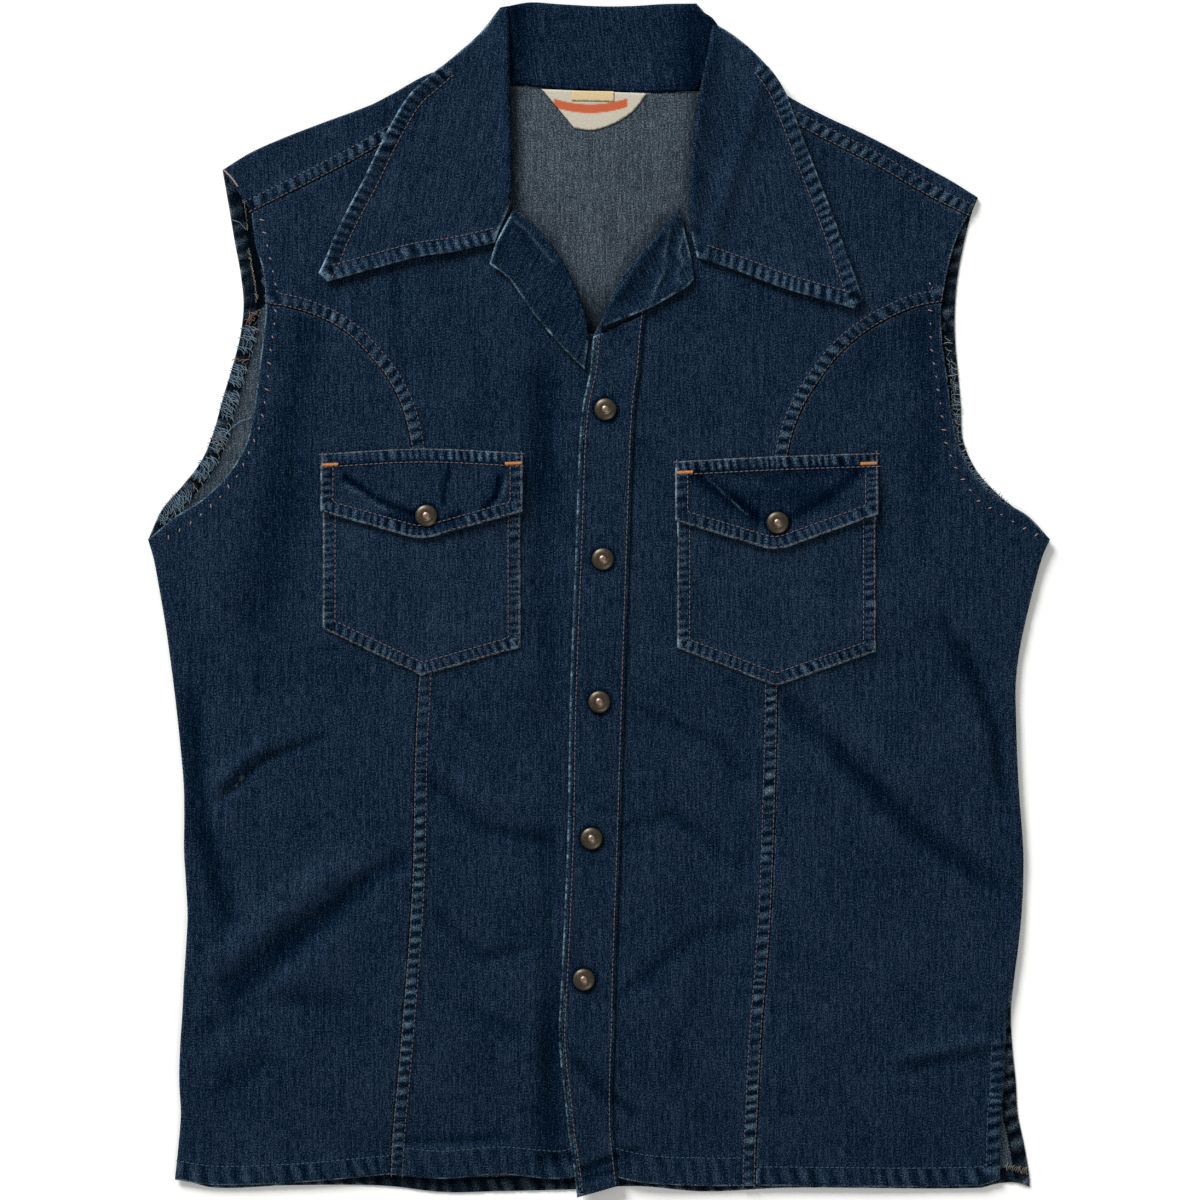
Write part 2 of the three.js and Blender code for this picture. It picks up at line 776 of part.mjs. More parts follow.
// The collar: the fall folded under the neck, the stand that shows inside it, and the two leaves.
function makeCollar() {
  const outerLeft = curve(points(leafLeftOuter));
  const outerRight = curve(points(leafRightOuter));
  const fallEdge = outline(
    lines.rollTop,
    above(outerRight, fallUp.right),
    backwards(lines.hiddenFall),
    backwards(above(outerLeft, fallUp.left)),
  );
  const bandEdge = outline(
    lines.rollTop,
    above(lines.rollRight, band.rightUp),
    shift(backwards(between(lines.backNeck, band.left, band.right)), 0, half),
    backwards(above(lines.rollLeft, band.leftUp)),
  );
  const sideLeftEdge = outline(
    backwards(beside(above(lines.neckLeft, standUp.neck), half)),
    points(standCornersLeft),
    lines.rollLeft,
  );
  const sideRightEdge = outline(
    backwards(beside(above(lines.neckRight, standUp.neck), -half)),
    points(standCornersRight),
    above(lines.rollRight, standUp.roll),
  );
  const standTop = raised(standBottom, cloth);
  let made = cut(fallEdge, () => 0, () => collarCloth);
  made = made.add(cut(bandEdge, standBottom, standTop));
  made = made.add(cut(strip(lines.rollTop, beside(lines.rollTop, -foldWidth)), () => 0, standTop));
  const leaves = [
    { side: -1, leaf: leafLeft, stand: sideLeftEdge, inner: lines.rollLeft, outer: outerLeft },
    { side: 1, leaf: leafRight, stand: sideRightEdge, inner: lines.rollRight, outer: outerRight },
  ];
  for (const { side, leaf, stand, inner, outer } of leaves) {
    const bottom = raised(frontTopAt(side), gap);
    const top = raised(bottom, collarCloth);
    const rollBar = strip(inner, beside(inner, side * foldWidth));
    const wrap = above(outer, wrapUp);
    made = made.add(cut(leaf, bottom, top));
    made = made.add(cut(stand, standBottom, standTop));
    made = made.add(cut(rollBar, standBottom, top));
    made = made.add(cut(strip(wrap, beside(wrap, -side * foldWidth)), () => 0, top));
  }
  addPiece("collar", made);
}

// The fronts' facings, turned out over them beside the neck opening.
function makeFacing(side) {
  const rows = side < 0 ? turnLeft : turnRight;
  const edge = strip(curve(points(rows, "rollX", "rollUp")), curve(points(rows, "freeX", "freeUp")));
  const bottom = raised(frontTopAt(side), gap);
  addPiece(`facing_${side < 0 ? "left" : "right"}`, cut(edge, bottom, raised(bottom, cloth)));
}

// A height as the gridded cloth has it at any place between the grid's corners.
function onGrid(height, x, y) {
  const column = (x - gridOffset.x) / gridPitch;
  const row = (y - gridOffset.y) / gridPitch;
  const i = Math.floor(column);
  const j = Math.floor(row);
  const at = (di, dj) => height((i + di) * gridPitch + gridOffset.x, (j + dj) * gridPitch + gridOffset.y);
  const right = column - i;
  const ahead = row - j;
  const middle = right > ahead ? at(1, 0) : at(0, 1);
  const near = Math.max(right, ahead);
  const far = Math.min(right, ahead);
  return at(0, 0) * (1 - near) + middle * (near - far) + at(1, 1) * far;
}

// A domed snap cap, seated just above the highest cloth under it.
function makeSnap(name, x, up, ground) {
  const profile = [
    [0, 0],
    [0.88, 0],
    [1, 0.08],
    [1, 0.2],
    [0.86, 0.32],
    [0.76, 0.24],
    [0.55, 0.36],
    [0, 0.44],
  ];
  const places = Array.from({ length: snapSides }, (_, i) => (i * 2 * Math.PI) / snapSides);
  const level = (a) => onGrid(ground, x + snapRadius * Math.cos(a), up + snapRadius * Math.sin(a));
  const under = places.map(level);
  const seat = Math.max(onGrid(ground, x, up), ...under) + gap;
  const shape = profile.map(([r, z]) => new THREE.Vector2(r * snapRadius, z * snapRadius));
  const dome = new THREE.LatheGeometry(shape, snapSides).rotateX(Math.PI / 2).translate(x, up, seat);
  addPiece(name, solid(dome), brassColour, 0.45, 0.8);
}

function makePocket(pocket) {
  const side = pocket.name === "left" ? -1 : 1;
  const bottom = raised(frontTopAt(side), gap);
  const pocketTop = raised(bottom, cloth);
  const rise = (y) => layer * (1 - smooth(pocket.top + gridPitch, pocket.flap.leftUp, y));
  const flapBottom = (x, y) => bottom(x, y) + rise(y);
  const flapTop = raised(flapBottom, flapCloth);
  addPiece(`pocket_${pocket.name}`, cut(pocketEdge(pocket), bottom, pocketTop));
  addPiece(`flap_${pocket.name}`, cut(flapEdge(pocket), flapBottom, flapTop));
  makeSnap(`pocket_snap_${pocket.name}`, pocket.snap.x, pocket.snap.up, flapTop);
}

makeBack();
makeFront(-1);
makeFront(1);
makeCollar();
makeFacing(-1);
makeFacing(1);
pockets.forEach(makePocket);
const placketBottom = raised(rightFrontBottom, layer);
const placketTop = raised(placketBottom, placketCloth);
addPiece("placket", cut(placket, placketBottom, placketTop));
placketSnaps.forEach(({ x, up }, i) => makeSnap(`snap_${i + 1}`, x, up, placketTop));
const labelBottom = raised(backBottom, layer);
const labelEdge = points(labelOutline);
addPiece("label", cut(labelEdge, labelBottom, raised(labelBottom, cloth)), labelColour);

// The origin is under the middle of the vest, where it rests.
const extent = new THREE.Box3().setFromObject(parts);
const middle = extent.getCenter(new THREE.Vector3());
parts.position.set(-middle.x, -middle.y, -extent.min.z);

export default parts;
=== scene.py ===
# A sleeveless denim vest with a long-pointed collar, snapped shut and laid flat on its back, seen from
# straight above. x runs to the viewer's right and "up" from the hem to the collar, both in millimetres, as
# in the part's own source.
import math

import bpy
import numpy as np
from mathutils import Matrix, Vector, geometry, kdtree


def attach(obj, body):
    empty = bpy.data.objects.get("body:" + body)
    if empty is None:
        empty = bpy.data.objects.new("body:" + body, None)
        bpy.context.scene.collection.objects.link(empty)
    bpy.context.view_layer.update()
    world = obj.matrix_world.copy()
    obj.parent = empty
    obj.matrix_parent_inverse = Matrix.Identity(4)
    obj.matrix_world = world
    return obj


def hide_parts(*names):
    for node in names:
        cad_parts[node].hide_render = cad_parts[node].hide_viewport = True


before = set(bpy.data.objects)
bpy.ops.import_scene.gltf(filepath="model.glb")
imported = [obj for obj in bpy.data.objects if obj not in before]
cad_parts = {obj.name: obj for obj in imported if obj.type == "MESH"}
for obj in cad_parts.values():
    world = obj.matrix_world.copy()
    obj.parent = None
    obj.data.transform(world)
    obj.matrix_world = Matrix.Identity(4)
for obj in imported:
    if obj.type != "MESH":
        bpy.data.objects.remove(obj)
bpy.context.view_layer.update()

# The table and the light. A sweep of matt white board, a wide soft box beyond the collar and to its left, a
# weaker one beyond the hem, and the camera straight above, as for a picture of clothes laid flat. In metres.
camera_height = 2.5
frame_width = 0.696
picture_middle = (0.00062, -0.00025)
sensor_width = 36.0
floor_half = 3.0
floor_drop = 0.0002
room_light = 0.34
lamps = {
    "key_box": {"at": (-1.8, 3.0, 1.85), "width": 1.7, "power": 285.0},
    "fill_box": {"at": (1.1, -2.1, 2.0), "width": 1.6, "power": 26.0},
}


def linear(hex_text):
    """An sRGB colour as the linear one that a shader takes."""
    parts = [int(hex_text[i : i + 2], 16) / 255 for i in (1, 3, 5)]
    return tuple(c / 12.92 if c <= 0.04045 else ((c + 0.055) / 1.055) ** 2.4 for c in parts) + (1.0,)


def add(tree, kind, links=None, **settings):
    """One node, with its settings, and with a value or a link for each input named in links."""
    node = tree.nodes.new(kind)
    for name, value in settings.items():
        setattr(node, name, value)
    for socket, source in (links or {}).items():
        if isinstance(source, bpy.types.NodeSocket):
            tree.links.new(source, node.inputs[socket])
        else:
            node.inputs[socket].default_value = source
    return node


def new_material(name):
    material = bpy.data.materials.new(name)
    material.use_nodes = True
    material.node_tree.nodes.clear()
    return material, material.node_tree


def worked_out(tree, operation, *values, **settings):
    return add(tree, "ShaderNodeMath", dict(enumerate(values)), operation=operation, **settings).outputs[0]


def stored(tree, name, output="Fac"):
    """What a mesh keeps at its points under a name, as its material reads it."""
    return add(tree, "ShaderNodeAttribute", attribute_name=name).outputs[output]


def cloudy(tree, at, scale, detail, roughness=0.5):
    """Soft noise over places that are first stretched by scale."""
    scaled = add(tree, "ShaderNodeVectorMath", {0: at, 1: scale}, operation="MULTIPLY").outputs[0]
    links = {"Vector": scaled, "Scale": 1.0, "Detail": detail, "Roughness": roughness}
    return add(tree, "ShaderNodeTexNoise", links).outputs["Fac"]


def mixed(tree, share, first, second):
    links = {"Factor": share, "A": first, "B": second}
    return add(tree, "ShaderNodeMix", links, data_type="RGBA").outputs["Result"]


def coated(tree, colour, relief, strength, depth, looks):
    """The end of a material's tree: its colour, its fine relief and its other looks."""
    bump = add(tree, "ShaderNodeBump", {"Height": relief, "Strength": strength, "Distance": depth})
    links = {"Base Color": colour, "Normal": bump.outputs[0], **looks}
    surface = add(tree, "ShaderNodeBsdfPrincipled", links)
    add(tree, "ShaderNodeOutputMaterial", {"Surface": surface.outputs[0]})


def placed(name, data):
    made = bpy.data.objects.new(name, data)
    bpy.context.collection.objects.link(made)
    return made


# Matt white card, without gloss, so it shows as an even pale ground.
card, tree = new_material("matt_white_card")
surface = add(tree, "ShaderNodeBsdfDiffuse", {"Color": linear("#f4f4f2"), "Roughness": 1.0})
add(tree, "ShaderNodeOutputMaterial", {"Surface": surface.outputs[0]})
floor_mesh = bpy.data.meshes.new("floor")
quarters = ((-1, -1), (1, -1), (1, 1), (-1, 1))
floor_corners = [(i * floor_half, j * floor_half, -floor_drop) for i, j in quarters]
floor_mesh.from_pydata(floor_corners, [], [(0, 1, 2, 3)])
floor_mesh.materials.append(card)
placed("floor", floor_mesh)

camera_data = bpy.data.cameras.new("camera")
camera_data.sensor_width = sensor_width
camera_data.lens = sensor_width * camera_height / frame_width
camera = placed("camera", camera_data)
camera.location = (*picture_middle, camera_height)
bpy.context.scene.camera = camera

for name, lamp in lamps.items():
    light = bpy.data.lights.new(name, "AREA")
    light.shape = "DISK"
    light.size = lamp["width"]
    light.energy = lamp["power"]
    box = placed(name, light)
    box.location = lamp["at"]
    box.rotation_euler = (-Vector(lamp["at"])).to_track_quat("-Z", "Y").to_euler()
world = bpy.data.worlds.new("white_room")
world.use_nodes = True
background = world.node_tree.nodes["Background"].inputs
background["Color"].default_value = linear("#ffffff")
background["Strength"].default_value = room_light
bpy.context.scene.world = world
bpy.context.scene.view_settings.view_transform = "Standard"

# The cloths' thicknesses and the room between them, and where the vest narrows, comes down towards its
# shoulders and opens at its hem. The back rises over the collar's fall that is folded under the neck.
middle = {"x": 0.25, "up": 347.093}  # where the frame's origin is
sides = ((-1, "left"), (1, "right"))
cloth = 1.0
collar_cloth = 1.6
flap_cloth = 1.4
placket_cloth = 1.4
gap = 0.3
layer = cloth + gap
air_most = 2.4
trough_room = 1.6
waist_half = 243.0
chest_half = 198.0
narrowing = (350, 430)
coming_down = (500, 590)
opening = (10, 90)
hem_share = 0.25  # how much of the room is left right at the hem
fall_centre = {"x": 0.0, "up": 652.0}
fall_reach = {"x": 140.0, "up": 68.0}
# Painted shade and painted light that follow the folds: a fold is darker, partly unfaded indigo and partly
# painted shade, and a crest is paler, partly rubbed and partly painted light.
unfaded_and_shaded_fold = 0.2
faded_and_lit_crest = 0.08
# The folds, as the photo has them. Each is a straight trough or, where its height is above 0, a ridge, and a
# longer or bent one takes up several rows.
fold_columns = ("x0", "up0", "x1", "up1", "width", "height")
folds = (
    (-165, 521, -183, 420, 10, -1.8),
    (-180, 420, -195, 340, 14, -2.3),
    (-195, 340, -199, 290, 12, -1.4),
    (-222, 400, -225, 330, 14, 1.5),
    (-236, 290, -229, 215, 6, -3.2),
    (-229, 215, -214, 158, 6, -3.4),
    (-222, 290, -214, 215, 8, 1.6),
    (-219, 231, -198, 252, 3.2, -2.4),
    (-198, 252, -159, 267, 3.0, -1.8),
    (-222, 240, -190, 266, 6, 2.2),
    (-216, 116, -180, 145, 7.5, -3.4),
    (-180, 145, -138, 180, 7.5, -3.4),
    (-138, 180, -112, 198, 6, -2.4),
    (-222, 135, -186, 165, 9, 2.2),
    (-186, 165, -146, 198, 9, 2.2),
    (-205, 104, -150, 150, 9, 1.4),
    (-232, 95, -187, 116, 6, -1.6),
    (-187, 116, -146, 113, 6, -1.4),
    (-225, 60, -190, 80, 7, -1.4),
    (-31, 478, -31, 405, 9, -3.6),
    (-33, 400, -27, 300, 7, -1.5),
    (-27, 300, -28, 205, 6, -0.8),
    (-28, 205, -29, 110, 6, -1.2),
    (-27, 110, -29, 25, 7, -3.8),
    (-100, 243, -68, 214, 4, -1.6),
    (-68, 214, -28, 207, 4, -1.6),
    (-96, 252, -60, 226, 6, 1.6),
    (-96, 290, -60, 262, 5, -1.0),
    (-97, 166, -68, 138, 4, -1.5),
    (-68, 138, -41, 145, 4, -1.3),
    (-80, 110, -45, 95, 5, -1.2),
    (-117, 535, -113, 475, 5, -1.2),
    (-70, 520, -66, 440, 6, -0.8),
    (20, 284, 70, 263, 3.5, -1.3),
    (70, 263, 86, 240, 3.5, -1.5),
    (14, 214, 43, 222, 3.5, -1.0),
    (43, 222, 81, 193, 3.8, -1.6),
    (14, 117, 57, 152, 4.5, -1.6),
    (57, 152, 85, 160, 4.5, -1.2),
    (105, 291, 140, 256, 6, -2.4),
    (140, 256, 182, 214, 6.5, -3.4),
    (182, 214, 231, 180, 6, -2.8),
    (118, 300, 190, 232, 9, 1.8),
    (120, 262, 170, 212, 8, 1.0),
    (212, 318, 230, 270, 3.6, -3.2),
    (230, 270, 234, 234, 3.6, -3.0),
    (205, 300, 222, 262, 6, 2.0),
    (200, 335, 214, 300, 4, -2.0),
    (187, 520, 192, 440, 10, -1.8),
    (192, 440, 186, 372, 9, -1.2),
    (176, 82, 228, 92, 5, 1.8),
    (170, 74, 226, 84, 4, -1.2),
    (155, 505, 160, 470, 10, -1.2),
    (-112, 33, -56, 35, 2.6, -2.2),
    (-112, 26, -56, 29, 4, 1.8),
    (-12, 80, 0, 62.6, 3, -2.6),
    (0, 62.6, 24, 47, 3.4, -2.4),
    (-12, 16, 8, 23.5, 2.4, -4.6),
    (8, 23.5, 24, 28, 2.4, -4.0),
    (-12, 10.5, 16, 19, 1.8, -3.6),
    (-36, 24, -16, 24, 4, -3.4),
)
ripples = ((34.0, 0.55), (13.0, 0.22))  # how far apart the cloth's small rises are, and how high
ripple_tile = 64


def ease(start, stop, value):
    """0 up to start, 1 from stop, and a smooth step between."""
    t = np.clip((value - start) / (stop - start), 0, 1)
    return t * t * (3 - 2 * t)


def bell(distance, reach):
    """1 along a line, and less and less beside it."""
    return np.exp(-((distance / reach) ** 2))


def noise(x, up, size, seed):
    """A soft random height from about -1 to 1, whose rises are size apart."""
    grid = np.random.default_rng(seed).uniform(-1, 1, (ripple_tile, ripple_tile))
    column, row = x / size, up / size
    i, j = np.floor(column).astype(int), np.floor(row).astype(int)
    u, v = ease(0, 1, column - i), ease(0, 1, row - j)
    at = lambda di, dj: grid[(i + di) % ripple_tile, (j + dj) % ripple_tile]
    low = at(0, 0) * (1 - u) + at(1, 0) * u
    high = at(0, 1) * (1 - u) + at(1, 1) * u
    return low * (1 - v) + high * v


def uneven(along, size, seed):
    """The same random height along a line."""
    return noise(along, along * 0, size, seed)


def folded(x, up):
    """How high or deep the folds are at each place."""
    height = np.zeros_like(x)
    for row in folds:
        fold = dict(zip(fold_columns, row))
        dx, dup = fold["x1"] - fold["x0"], fold["up1"] - fold["up0"]
        length = math.hypot(dx, dup)
        t = ((x - fold["x0"]) * dx + (up - fold["up0"]) * dup) / length**2
        across = ((x - fold["x0"]) * dup - (up - fold["up0"]) * dx) / length
        ends = ease(-0.25, 0.2, t) * (1 - ease(0.8, 1.25, t))
        height += fold["height"] * ends * bell(across, fold["width"])
    return height


def level(height):
    """A height that is the same everywhere."""
    return lambda x, up: 0 * x + height


def higher(base, by):
    return lambda x, up: base(x, up) + by


def back_under(x, up):
    """The back's underside, which is flat on the table but for the rise over the collar's fall."""
    off_x, off_up = x - fall_centre["x"], up - fall_centre["up"]
    reach = (off_x / fall_reach["x"]) ** 2 + (off_up / fall_reach["up"]) ** 2
    return (collar_cloth + gap) * (1 - ease(1, 2.4, reach))


def air(x, up):
    """The room between the back and the front."""
    half = waist_half + (chest_half - waist_half) * ease(*narrowing, up)
    middle_share = 1 - ease(0.45, 1, np.abs(x) / half)
    shoulders = 1 - ease(*coming_down, up)
    hem = hem_share + (1 - hem_share) * ease(*opening, up)
    loose = ease(0, 0.35, middle_share + 0.2)
    small = sum(high * noise(x, up, size, 5 + i) for i, (size, high) in enumerate(ripples))
    lift = air_most * middle_share + (folded(x, up) + small) * loose
    finer = 0.25 + 0.5 * small * (1 - loose * 0.5)
    return np.maximum(0, (lift + trough_room) * shoulders * hem) + np.maximum(0, finer) * 0.9


def fold_fade_and_shade(x, up):
    """How much darker the cloth is down in a fold, partly unfaded and partly painted shade, and how much
    paler on a crest, partly rubbed and partly painted light.
    """
    height = folded(x, up)
    return np.where(height < 0, unfaded_and_shaded_fold * height, faded_and_lit_crest * height)


def packed_faces(node, up_facing, near):
    """The faces of a node that point up or down and join on to the one nearest a place."""
    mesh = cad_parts[node].data
    mesh.calc_loop_triangles()
    found = np.empty(len(mesh.vertices) * 3)
    mesh.vertices.foreach_get("co", found)
    points = np.round(found.reshape(-1, 3) * 1000 + (middle["x"], middle["up"], 0), 2)
    merged, index = np.unique(points, axis=0, return_inverse=True)
    index = index.reshape(-1)
    corners = np.empty(len(mesh.loop_triangles) * 3, dtype=np.int32)
    mesh.loop_triangles.foreach_get("vertices", corners)
    faces = index[corners].reshape(-1, 3)
    a, b, c = (merged[faces[:, k]] for k in range(3))
    normal = np.cross(b - a, c - a)
    slope = normal[:, 2] / np.maximum(np.linalg.norm(normal, axis=1), 1e-9)
    faces = faces[(slope > 0.5) if up_facing else (slope < -0.5)]
    centres = merged[faces].mean(axis=1)
    first = int(np.argmin(np.linalg.norm(centres - near, axis=1)))
    by_edge = {}
    for f, face in enumerate(faces):
        for k in range(3):
            by_edge.setdefault(frozenset((face[k], face[(k + 1) % 3])), []).append(f)
    reached, waiting = {first}, [first]
    while waiting:
        face = faces[waiting.pop()]
        for k in range(3):
            for other in by_edge[frozenset((face[k], face[(k + 1) % 3]))]:
                if other not in reached:
                    reached.add(other)
                    waiting.append(other)
    return merged, faces[sorted(reached)]


least_bulge = 0.03  # a corner that stands out less than this is left out
least_stride = 0.25


def outline_of(node, up_facing=False, near=(0.0, 300.0, -50.0)):
    """The corner points of a node's flat shape, anticlockwise."""
    merged, faces = packed_faces(node, up_facing, near)
    onward = dict.fromkeys((face[k], face[(k + 1) % 3]) for face in faces for k in range(3))
    following = {a: b for a, b in onward if (b, a) not in onward}
    loops = []
    while following:
        start = next(iter(following))
        loop = [start]
        step = following.pop(start)
        while step != start and step in following:
            loop.append(step)
            step = following.pop(step)
        loops.append(merged[loop][:, :2])
    loop = max(loops, key=lambda points: abs(signed_area(points)))
    kept = list(loop if signed_area(loop) > 0 else loop[::-1])
    changed = True
    while changed:
        changed = False
        i = 0
        while i < len(kept) and len(kept) > 4:
            before, here, after = kept[i - 1], kept[i], kept[(i + 1) % len(kept)]
            chord, stride = after - before, here - before
            bulge = abs(chord[0] * stride[1] - chord[1] * stride[0]) / max(np.hypot(*chord), 1e-9)
            if bulge < least_bulge or np.hypot(*stride) < least_stride:
                kept.pop(i)
                changed = True
            i += 1
    return np.array(kept)


def signed_area(points):
    x, up = points[:, 0], points[:, 1]
    return 0.5 * float(np.sum(x * np.roll(up, -1) - np.roll(x, -1) * up))


def smooth_edge(corner_points, pitch, sharp=28.0):
    """A closed edge through the points, round between its sharp corners, with a point each pitch."""
    count = len(corner_points)
    before = corner_points - np.roll(corner_points, 1, axis=0)
    after = np.roll(corner_points, -1, axis=0) - corner_points
    length_before, length_after = np.hypot(*before.T), np.hypot(*after.T)
    turn = np.degrees(np.arccos(np.clip((before * after).sum(1) / (length_before * length_after), -1, 1)))
    corner = turn > sharp
    tangent = before / length_before[:, None] ** 2 + after / length_after[:, None] ** 2
    tangent /= (1 / length_before + 1 / length_after)[:, None]
    edge = []
    for i in range(count):
        j = (i + 1) % count
        length = length_after[i]
        straight = after[i] / length
        leave = straight if corner[i] else tangent[i]
        arrive = straight if corner[j] else tangent[j]
        steps = max(1, int(round(length / pitch)))
        lead = straight + (leave - straight) * min(1.0, 1.5 * length_before[i] / length)
        last = straight + (arrive - straight) * min(1.0, 1.5 * length_after[j] / length)
        for t in np.arange(steps) / steps:
            edge.append(
                (2 * t**3 - 3 * t**2 + 1) * corner_points[i]
                + (t**3 - 2 * t**2 + t) * length * lead
                + (3 * t**2 - 2 * t**3) * corner_points[j]
                + (t**3 - t**2) * length * last
            )
    return np.array(edge)


def shifted(line, distance, closed=False):
    """A line moved to its left, which on an anticlockwise edge is inwards."""
    if closed:
        along = np.roll(line, -1, axis=0) - np.roll(line, 1, axis=0)
    else:
        along = np.gradient(line, axis=0)
    along /= np.maximum(np.hypot(*along.T), 1e-9)[:, None]
    return line + distance * np.stack([-along[:, 1], along[:, 0]], axis=1)


def inside(line, distance):
    """The row that keeps a distance to the left of a line, with no loop at its corners."""
    moved = shifted(dense(line, 1.5)[0], distance)
    return moved[nearest(moved, line)[0] > abs(distance) * 0.985 - 0.05]


def softened(edge, place, reach):
    """The edge with the corner at a place rounded off."""
    edge = edge.copy()
    near = np.clip(1 - np.hypot(*(edge - np.array(place)).T) / reach, 0, 1)[:, None]
    for _ in range(40):
        edge += 0.5 * near * ((np.roll(edge, 1, axis=0) + np.roll(edge, -1, axis=0)) / 2 - edge)
    return edge


def stretch(edge, start, via, end):
    """The stretch of a closed edge between two places, by way of a third, in the edge's own direction."""
    index = lambda place: int(np.argmin(np.hypot(*(edge - np.array(place)).T)))
    a, b = index(start), index(end)
    one = np.roll(edge, -a, axis=0)[: (b - a) % len(edge) + 1]
    other = np.roll(edge, -b, axis=0)[: (a - b) % len(edge) + 1]
    reach = lambda line: np.min(np.hypot(*(line - np.array(via)).T))
    return one if reach(one) < reach(other) else other


def dense(line, step, closed=False):
    ends = np.vstack([line, line[:1]]) if closed else line
    lengths = np.concatenate([[0], np.cumsum(np.hypot(*np.diff(ends, axis=0).T))])
    along = np.linspace(0, lengths[-1], max(2, int(lengths[-1] / step)))
    return np.stack([np.interp(along, lengths, ends[:, k]) for k in (0, 1)], axis=1), along


def tree_of(points):
    tree = kdtree.KDTree(len(points))
    for i, (x, up) in enumerate(points):
        tree.insert((x, up, 0), i)
    tree.balance()
    return tree


def nearest(points, line, closed=False):
    """Each point's distance from a line, and how far along the line that is."""
    samples, along = dense(line, 0.3, closed)
    tree = tree_of(samples)
    found = [tree.find((x, up, 0)) for x, up in points]
    return np.array([f[2] for f in found]), along[[f[1] for f in found]]


def off(line, x, up):
    """How far each place is from a line."""
    return nearest(np.stack([x, up], axis=1), line)[0]


def apart(points, fixed, distance):
    """The points that are at least a distance from every fixed one."""
    tree = tree_of(fixed)
    return np.array([p for p in points if tree.find((p[0], p[1], 0))[2] >= distance]).reshape(-1, 2)


def raised(base, line, height, reach):
    """A height that swells along a line."""
    return lambda x, up: base(x, up) + height * bell(off(line, x, up), reach)


def filled(edge, followed, pitch):
    """Points and triangles inside an edge: along the followed lines, and on a staggered grid between them."""
    low, high = edge.min(0) - 1, edge.max(0) + 1
    rows = np.arange(low[1], high[1], pitch * 0.87)
    columns = np.arange(low[0], high[0], pitch)
    grid = np.array([(x + pitch * 0.5 * (j % 2), up) for j, up in enumerate(rows) for x in columns])
    chosen = edge
    rim, _ = dense(edge, 0.5, closed=True)
    for line in followed:
        fresh = apart(apart(line, rim, 0.32), chosen, 0.45)
        chosen = np.vstack([chosen, fresh])
    chosen = np.vstack([chosen, apart(apart(grid, chosen, pitch * 0.6), rim, pitch * 0.5)])
    count = len(edge)
    ring = [(i, (i + 1) % count) for i in range(count)]
    made = geometry.delaunay_2d_cdt([Vector(p) for p in chosen], ring, [], 1, 1e-6)
    number = {}
    for v, sources in enumerate(made[3]):
        if sources and min(sources) < count:
            number[v] = min(sources)
    points = list(edge)
    faces = []
    for face in made[2]:
        for v in face:
            if v not in number:
                number[v] = len(points)
                points.append(made[0][v])
        a, b, c = (number[v] for v in face)
        p, q, r = (points[k] for k in (a, b, c))
        turn = (q[0] - p[0]) * (r[1] - p[1]) - (q[1] - p[1]) * (r[0] - p[0])
        faces.append((a, b, c) if turn > 0 else (a, c, b))
    return np.array([(p[0], p[1]) for p in points]), np.array(faces)


dent_share = 0.3  # how deep a dent goes, as a share of the height that also sets how dark its painted shade is
broad_half = 4.3  # a strip that is broader than this to each side has fainter puckers
rim_reach = 1.05  # how far in from its edge the cloth is worn
strip_lines = (0.5, -0.3, -1.4)  # its points lie this far beyond and within both edges of a strip
puff_rise = 0.34
pull_depth = 0.22  # how far the thread pulls the cloth in
puff_worn = {"felled": 0.52, "single": 0.36}
# How far the value kept for roping, unfaded folds and painted shade may go.
tint_and_shade_range = (-1.6, 1.2)


def strip(line, half, rise, beat):
    """A sewn strip beside a line, as a border for shell."""
    return shifted(line, half), half, rise, beat


